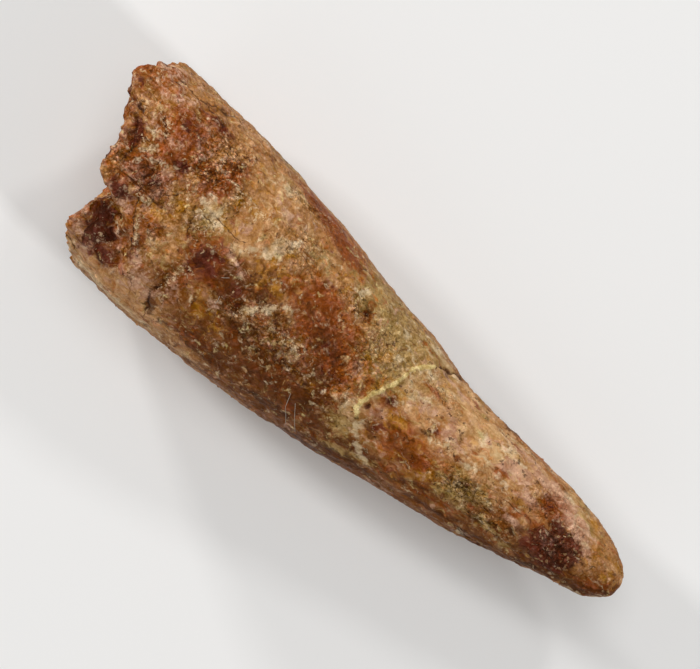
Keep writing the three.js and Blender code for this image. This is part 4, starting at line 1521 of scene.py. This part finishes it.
sand_grains = scatter(tooth, "sand_grains", sand_tree, SAND_INPUTS)
print("sand:", len(sand_grains.data.polygons), "triangles")

# %% [markdown]
# ## Lint
# A few pale fibres cling to the rough side. Each is a curve with a round bevel, turned into a mesh.
# Its points are found by dropping them onto the skin from above, so that a fibre follows it. A few
# curves need no rule and no scattering, so they are drawn one by one.

# %% Lay the fibres
LINT_RADIUS = 0.028 * MM
LINT = [  # (along, across) of each fibre's points
    [(39.6, -8.5), (39.9, -9.3), (40.2, -10.1), (40.8, -10.7), (41.6, -11.6)],
    [(40.8, -9.0), (41.6, -10.0), (42.3, -10.8), (43.1, -11.6)],
    [(24.3, -3.8), (24.7, -3.5), (25.0, -3.2)],
    [(25.6, -5.6), (25.8, -6.1), (25.8, -6.6)],
]
STEPS_A_POINT = 8
DROP_FROM = 60.0  # mm


def drop_onto(piece, along, across):
    """The point of a piece's upper side at this place, in metres."""
    above = Vector(from_ruler(np.array([along, across, DROP_FROM])))
    hit, spot, _, _ = piece.ray_cast(above, Vector((0, 0, -1)))
    return spot if hit else above


def fibre(route):
    curve = bpy.data.curves.new("fibre", "CURVE")
    curve.dimensions = "3D"
    curve.bevel_depth = LINT_RADIUS
    curve.bevel_resolution = 2
    curve.use_fill_caps = True
    spline = curve.splines.new("NURBS")
    steps = np.linspace(0, len(route) - 1, STEPS_A_POINT * len(route))
    alongs, acrosses = (np.interp(steps, np.arange(len(route)), row) for row in zip(*route))
    spline.points.add(len(steps) - 1)
    for point, along, across in zip(spline.points, alongs, acrosses):
        spot = drop_onto(tooth, along, across) + Vector((0, 0, 1.5 * LINT_RADIUS))
        point.co = (*spot, 1)
    spline.use_endpoint_u = True
    spline.order_u = 3
    drawn = new_object("fibre", curve)
    mesh = plain_mesh(drawn)
    bpy.data.objects.remove(drawn)
    return mesh


def joined(meshes, name):
    """One object from several meshes."""
    work = bmesh.new()
    for mesh in meshes:
        work.from_mesh(mesh)
        bpy.data.meshes.remove(mesh)
    mesh = bpy.data.meshes.new(name)
    work.to_mesh(mesh)
    work.free()
    return new_object(name, mesh)


lint = joined([fibre(route) for route in LINT], "lint")
print("lint:", len(lint.data.polygons), "faces")

# %% [markdown]
# Lint is dust and cotton, dull and not quite white, and darker where dust sticks to it.

# %% Lint material


def lint_material():
    material = bpy.data.materials.new("lint")
    material.use_nodes = True
    tree = material.node_tree
    place = add(tree, "ShaderNodeTexCoord").outputs["Object"]
    dust = speckle(tree, place, 0.9 * MM_PER_METRE)
    colour = mix(tree, dust, tone(140, 122, 102), tone(200, 186, 170))
    fill_inputs(tree, tree.nodes["Principled BSDF"], {"Base Color": colour, "Roughness": 0.8})
    return material


lint.data.materials.append(lint_material())
print("lint is", lint.data.materials[0].name)

# %% [markdown]
# ## Riding on the frame
# The tooth is one body, so every piece rides on it, and the fine skin stands in for the plain
# solid.

# %% Tell the frame
for piece in (tooth, sand_grains, lint):
    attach(piece, "root")
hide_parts("tooth")
print("pieces:", tooth.name, sand_grains.name, lint.name)

# %% [markdown]
# ## The floor and the camera
# The tooth lies on a pale sheet, seen from straight above. The camera is turned so that the tooth
# runs from the upper left to the lower right, and is far enough away to flatten the view as a
# long lens does.

# %% Floor and camera
FLOOR_COLOUR = (0.785, 0.78, 0.77, 1)
FLOOR_HALF = 2.0
CAMERA_HEIGHT = 1.5
VIEW_WIDTH = 83.6 * MM
VIEW_MIDDLE = (40.1, 1.44, 12.0)  # on the ruler
IMAGE_RIGHT = Vector((0.74, 0.6726, 0)).normalized()
SENSOR_MM = 36


def floor_sheet():
    mesh = bpy.data.meshes.new("floor")
    signs = [(-1, -1), (1, -1), (1, 1), (-1, 1)]
    mesh.from_pydata([(FLOOR_HALF * x, FLOOR_HALF * y, 0) for x, y in signs], [], [(0, 1, 2, 3)])
    material = bpy.data.materials.new("pale_sheet")
    material.use_nodes = True
    shader = material.node_tree.nodes["Principled BSDF"]
    fill_inputs(material.node_tree, shader, {"Base Color": FLOOR_COLOUR, "Roughness": 0.7})
    mesh.materials.append(material)
    return new_object("floor", mesh)


def camera_above():
    data = bpy.data.cameras.new("camera")
    data.sensor_width = SENSOR_MM
    data.lens = SENSOR_MM * CAMERA_HEIGHT / VIEW_WIDTH
    data.clip_start = 0.01
    made = new_object("camera", data)
    toward = Vector((0, 0, 1))
    up = toward.cross(IMAGE_RIGHT)
    turn = Matrix((IMAGE_RIGHT, up, toward)).transposed().to_4x4()
    middle = Vector(from_ruler(np.array(VIEW_MIDDLE)))
    made.matrix_world = Matrix.Translation(middle + toward * CAMERA_HEIGHT) @ turn
    bpy.context.scene.camera = made
    return made


floor = floor_sheet()
camera = camera_above()
print("camera at", [round(c, 3) for c in camera.location])

# %% [markdown]
# ## The lamps
# A wide lamp hangs overhead, as the ceiling of a room does, and another on the outer side of the
# tooth's curve opens the shadows. Four small lamps stand lower: one on the side that the tooth
# curves to, one at the tip's end and two at the base's. They rake across the surface and bring its
# relief out. Each throws a shadow of its own, so that the tooth's shadow lies on the outer side and
# past both ends in a few overlapping steps.

# %% Light the studio
LAMPS = [  # name, direction it stands in, distance in m, size in m, power in W
    ("main", (0.0, 1.0, 0.9), 1.0, 0.12, 1.7),
    ("near side", (0.0, -1.0, 0.6), 1.4, 1.2, 2.0),
    ("base end", (-1.0, 0.0, 0.53), 1.0, 0.12, 3.7),
    ("low from the base", (-0.93, 0.37, 0.27), 1.0, 0.12, 4.8),
    ("tip end", (1.0, 0.0, 0.9), 1.0, 0.12, 2.8),
    ("overhead", (-0.1, 0.2, 1.0), 2.0, 0.9, 9.4),
]
ROOM_COLOUR, ROOM_STRENGTH = (1, 0.99, 0.98, 1), 0.2


def soft_light(name, direction, distance, size, watts):
    """A square lamp that shines at the tooth from this direction."""
    data = bpy.data.lights.new(name, "AREA")
    data.size = size
    data.energy = watts
    made = new_object(name, data)
    toward = Vector(direction).normalized()
    turn = toward.to_track_quat("Z", "Y").to_matrix().to_4x4()
    made.matrix_world = Matrix.Translation(toward * distance) @ turn


for lamp in LAMPS:
    soft_light(*lamp)
world = bpy.data.worlds.new("studio")
world.use_nodes = True
background = world.node_tree.nodes["Background"]
fill_inputs(world.node_tree, background, {"Color": ROOM_COLOUR, "Strength": ROOM_STRENGTH})
bpy.context.scene.world = world
bpy.context.scene.view_settings.view_transform = "Standard"
print(len(LAMPS), "lamps")
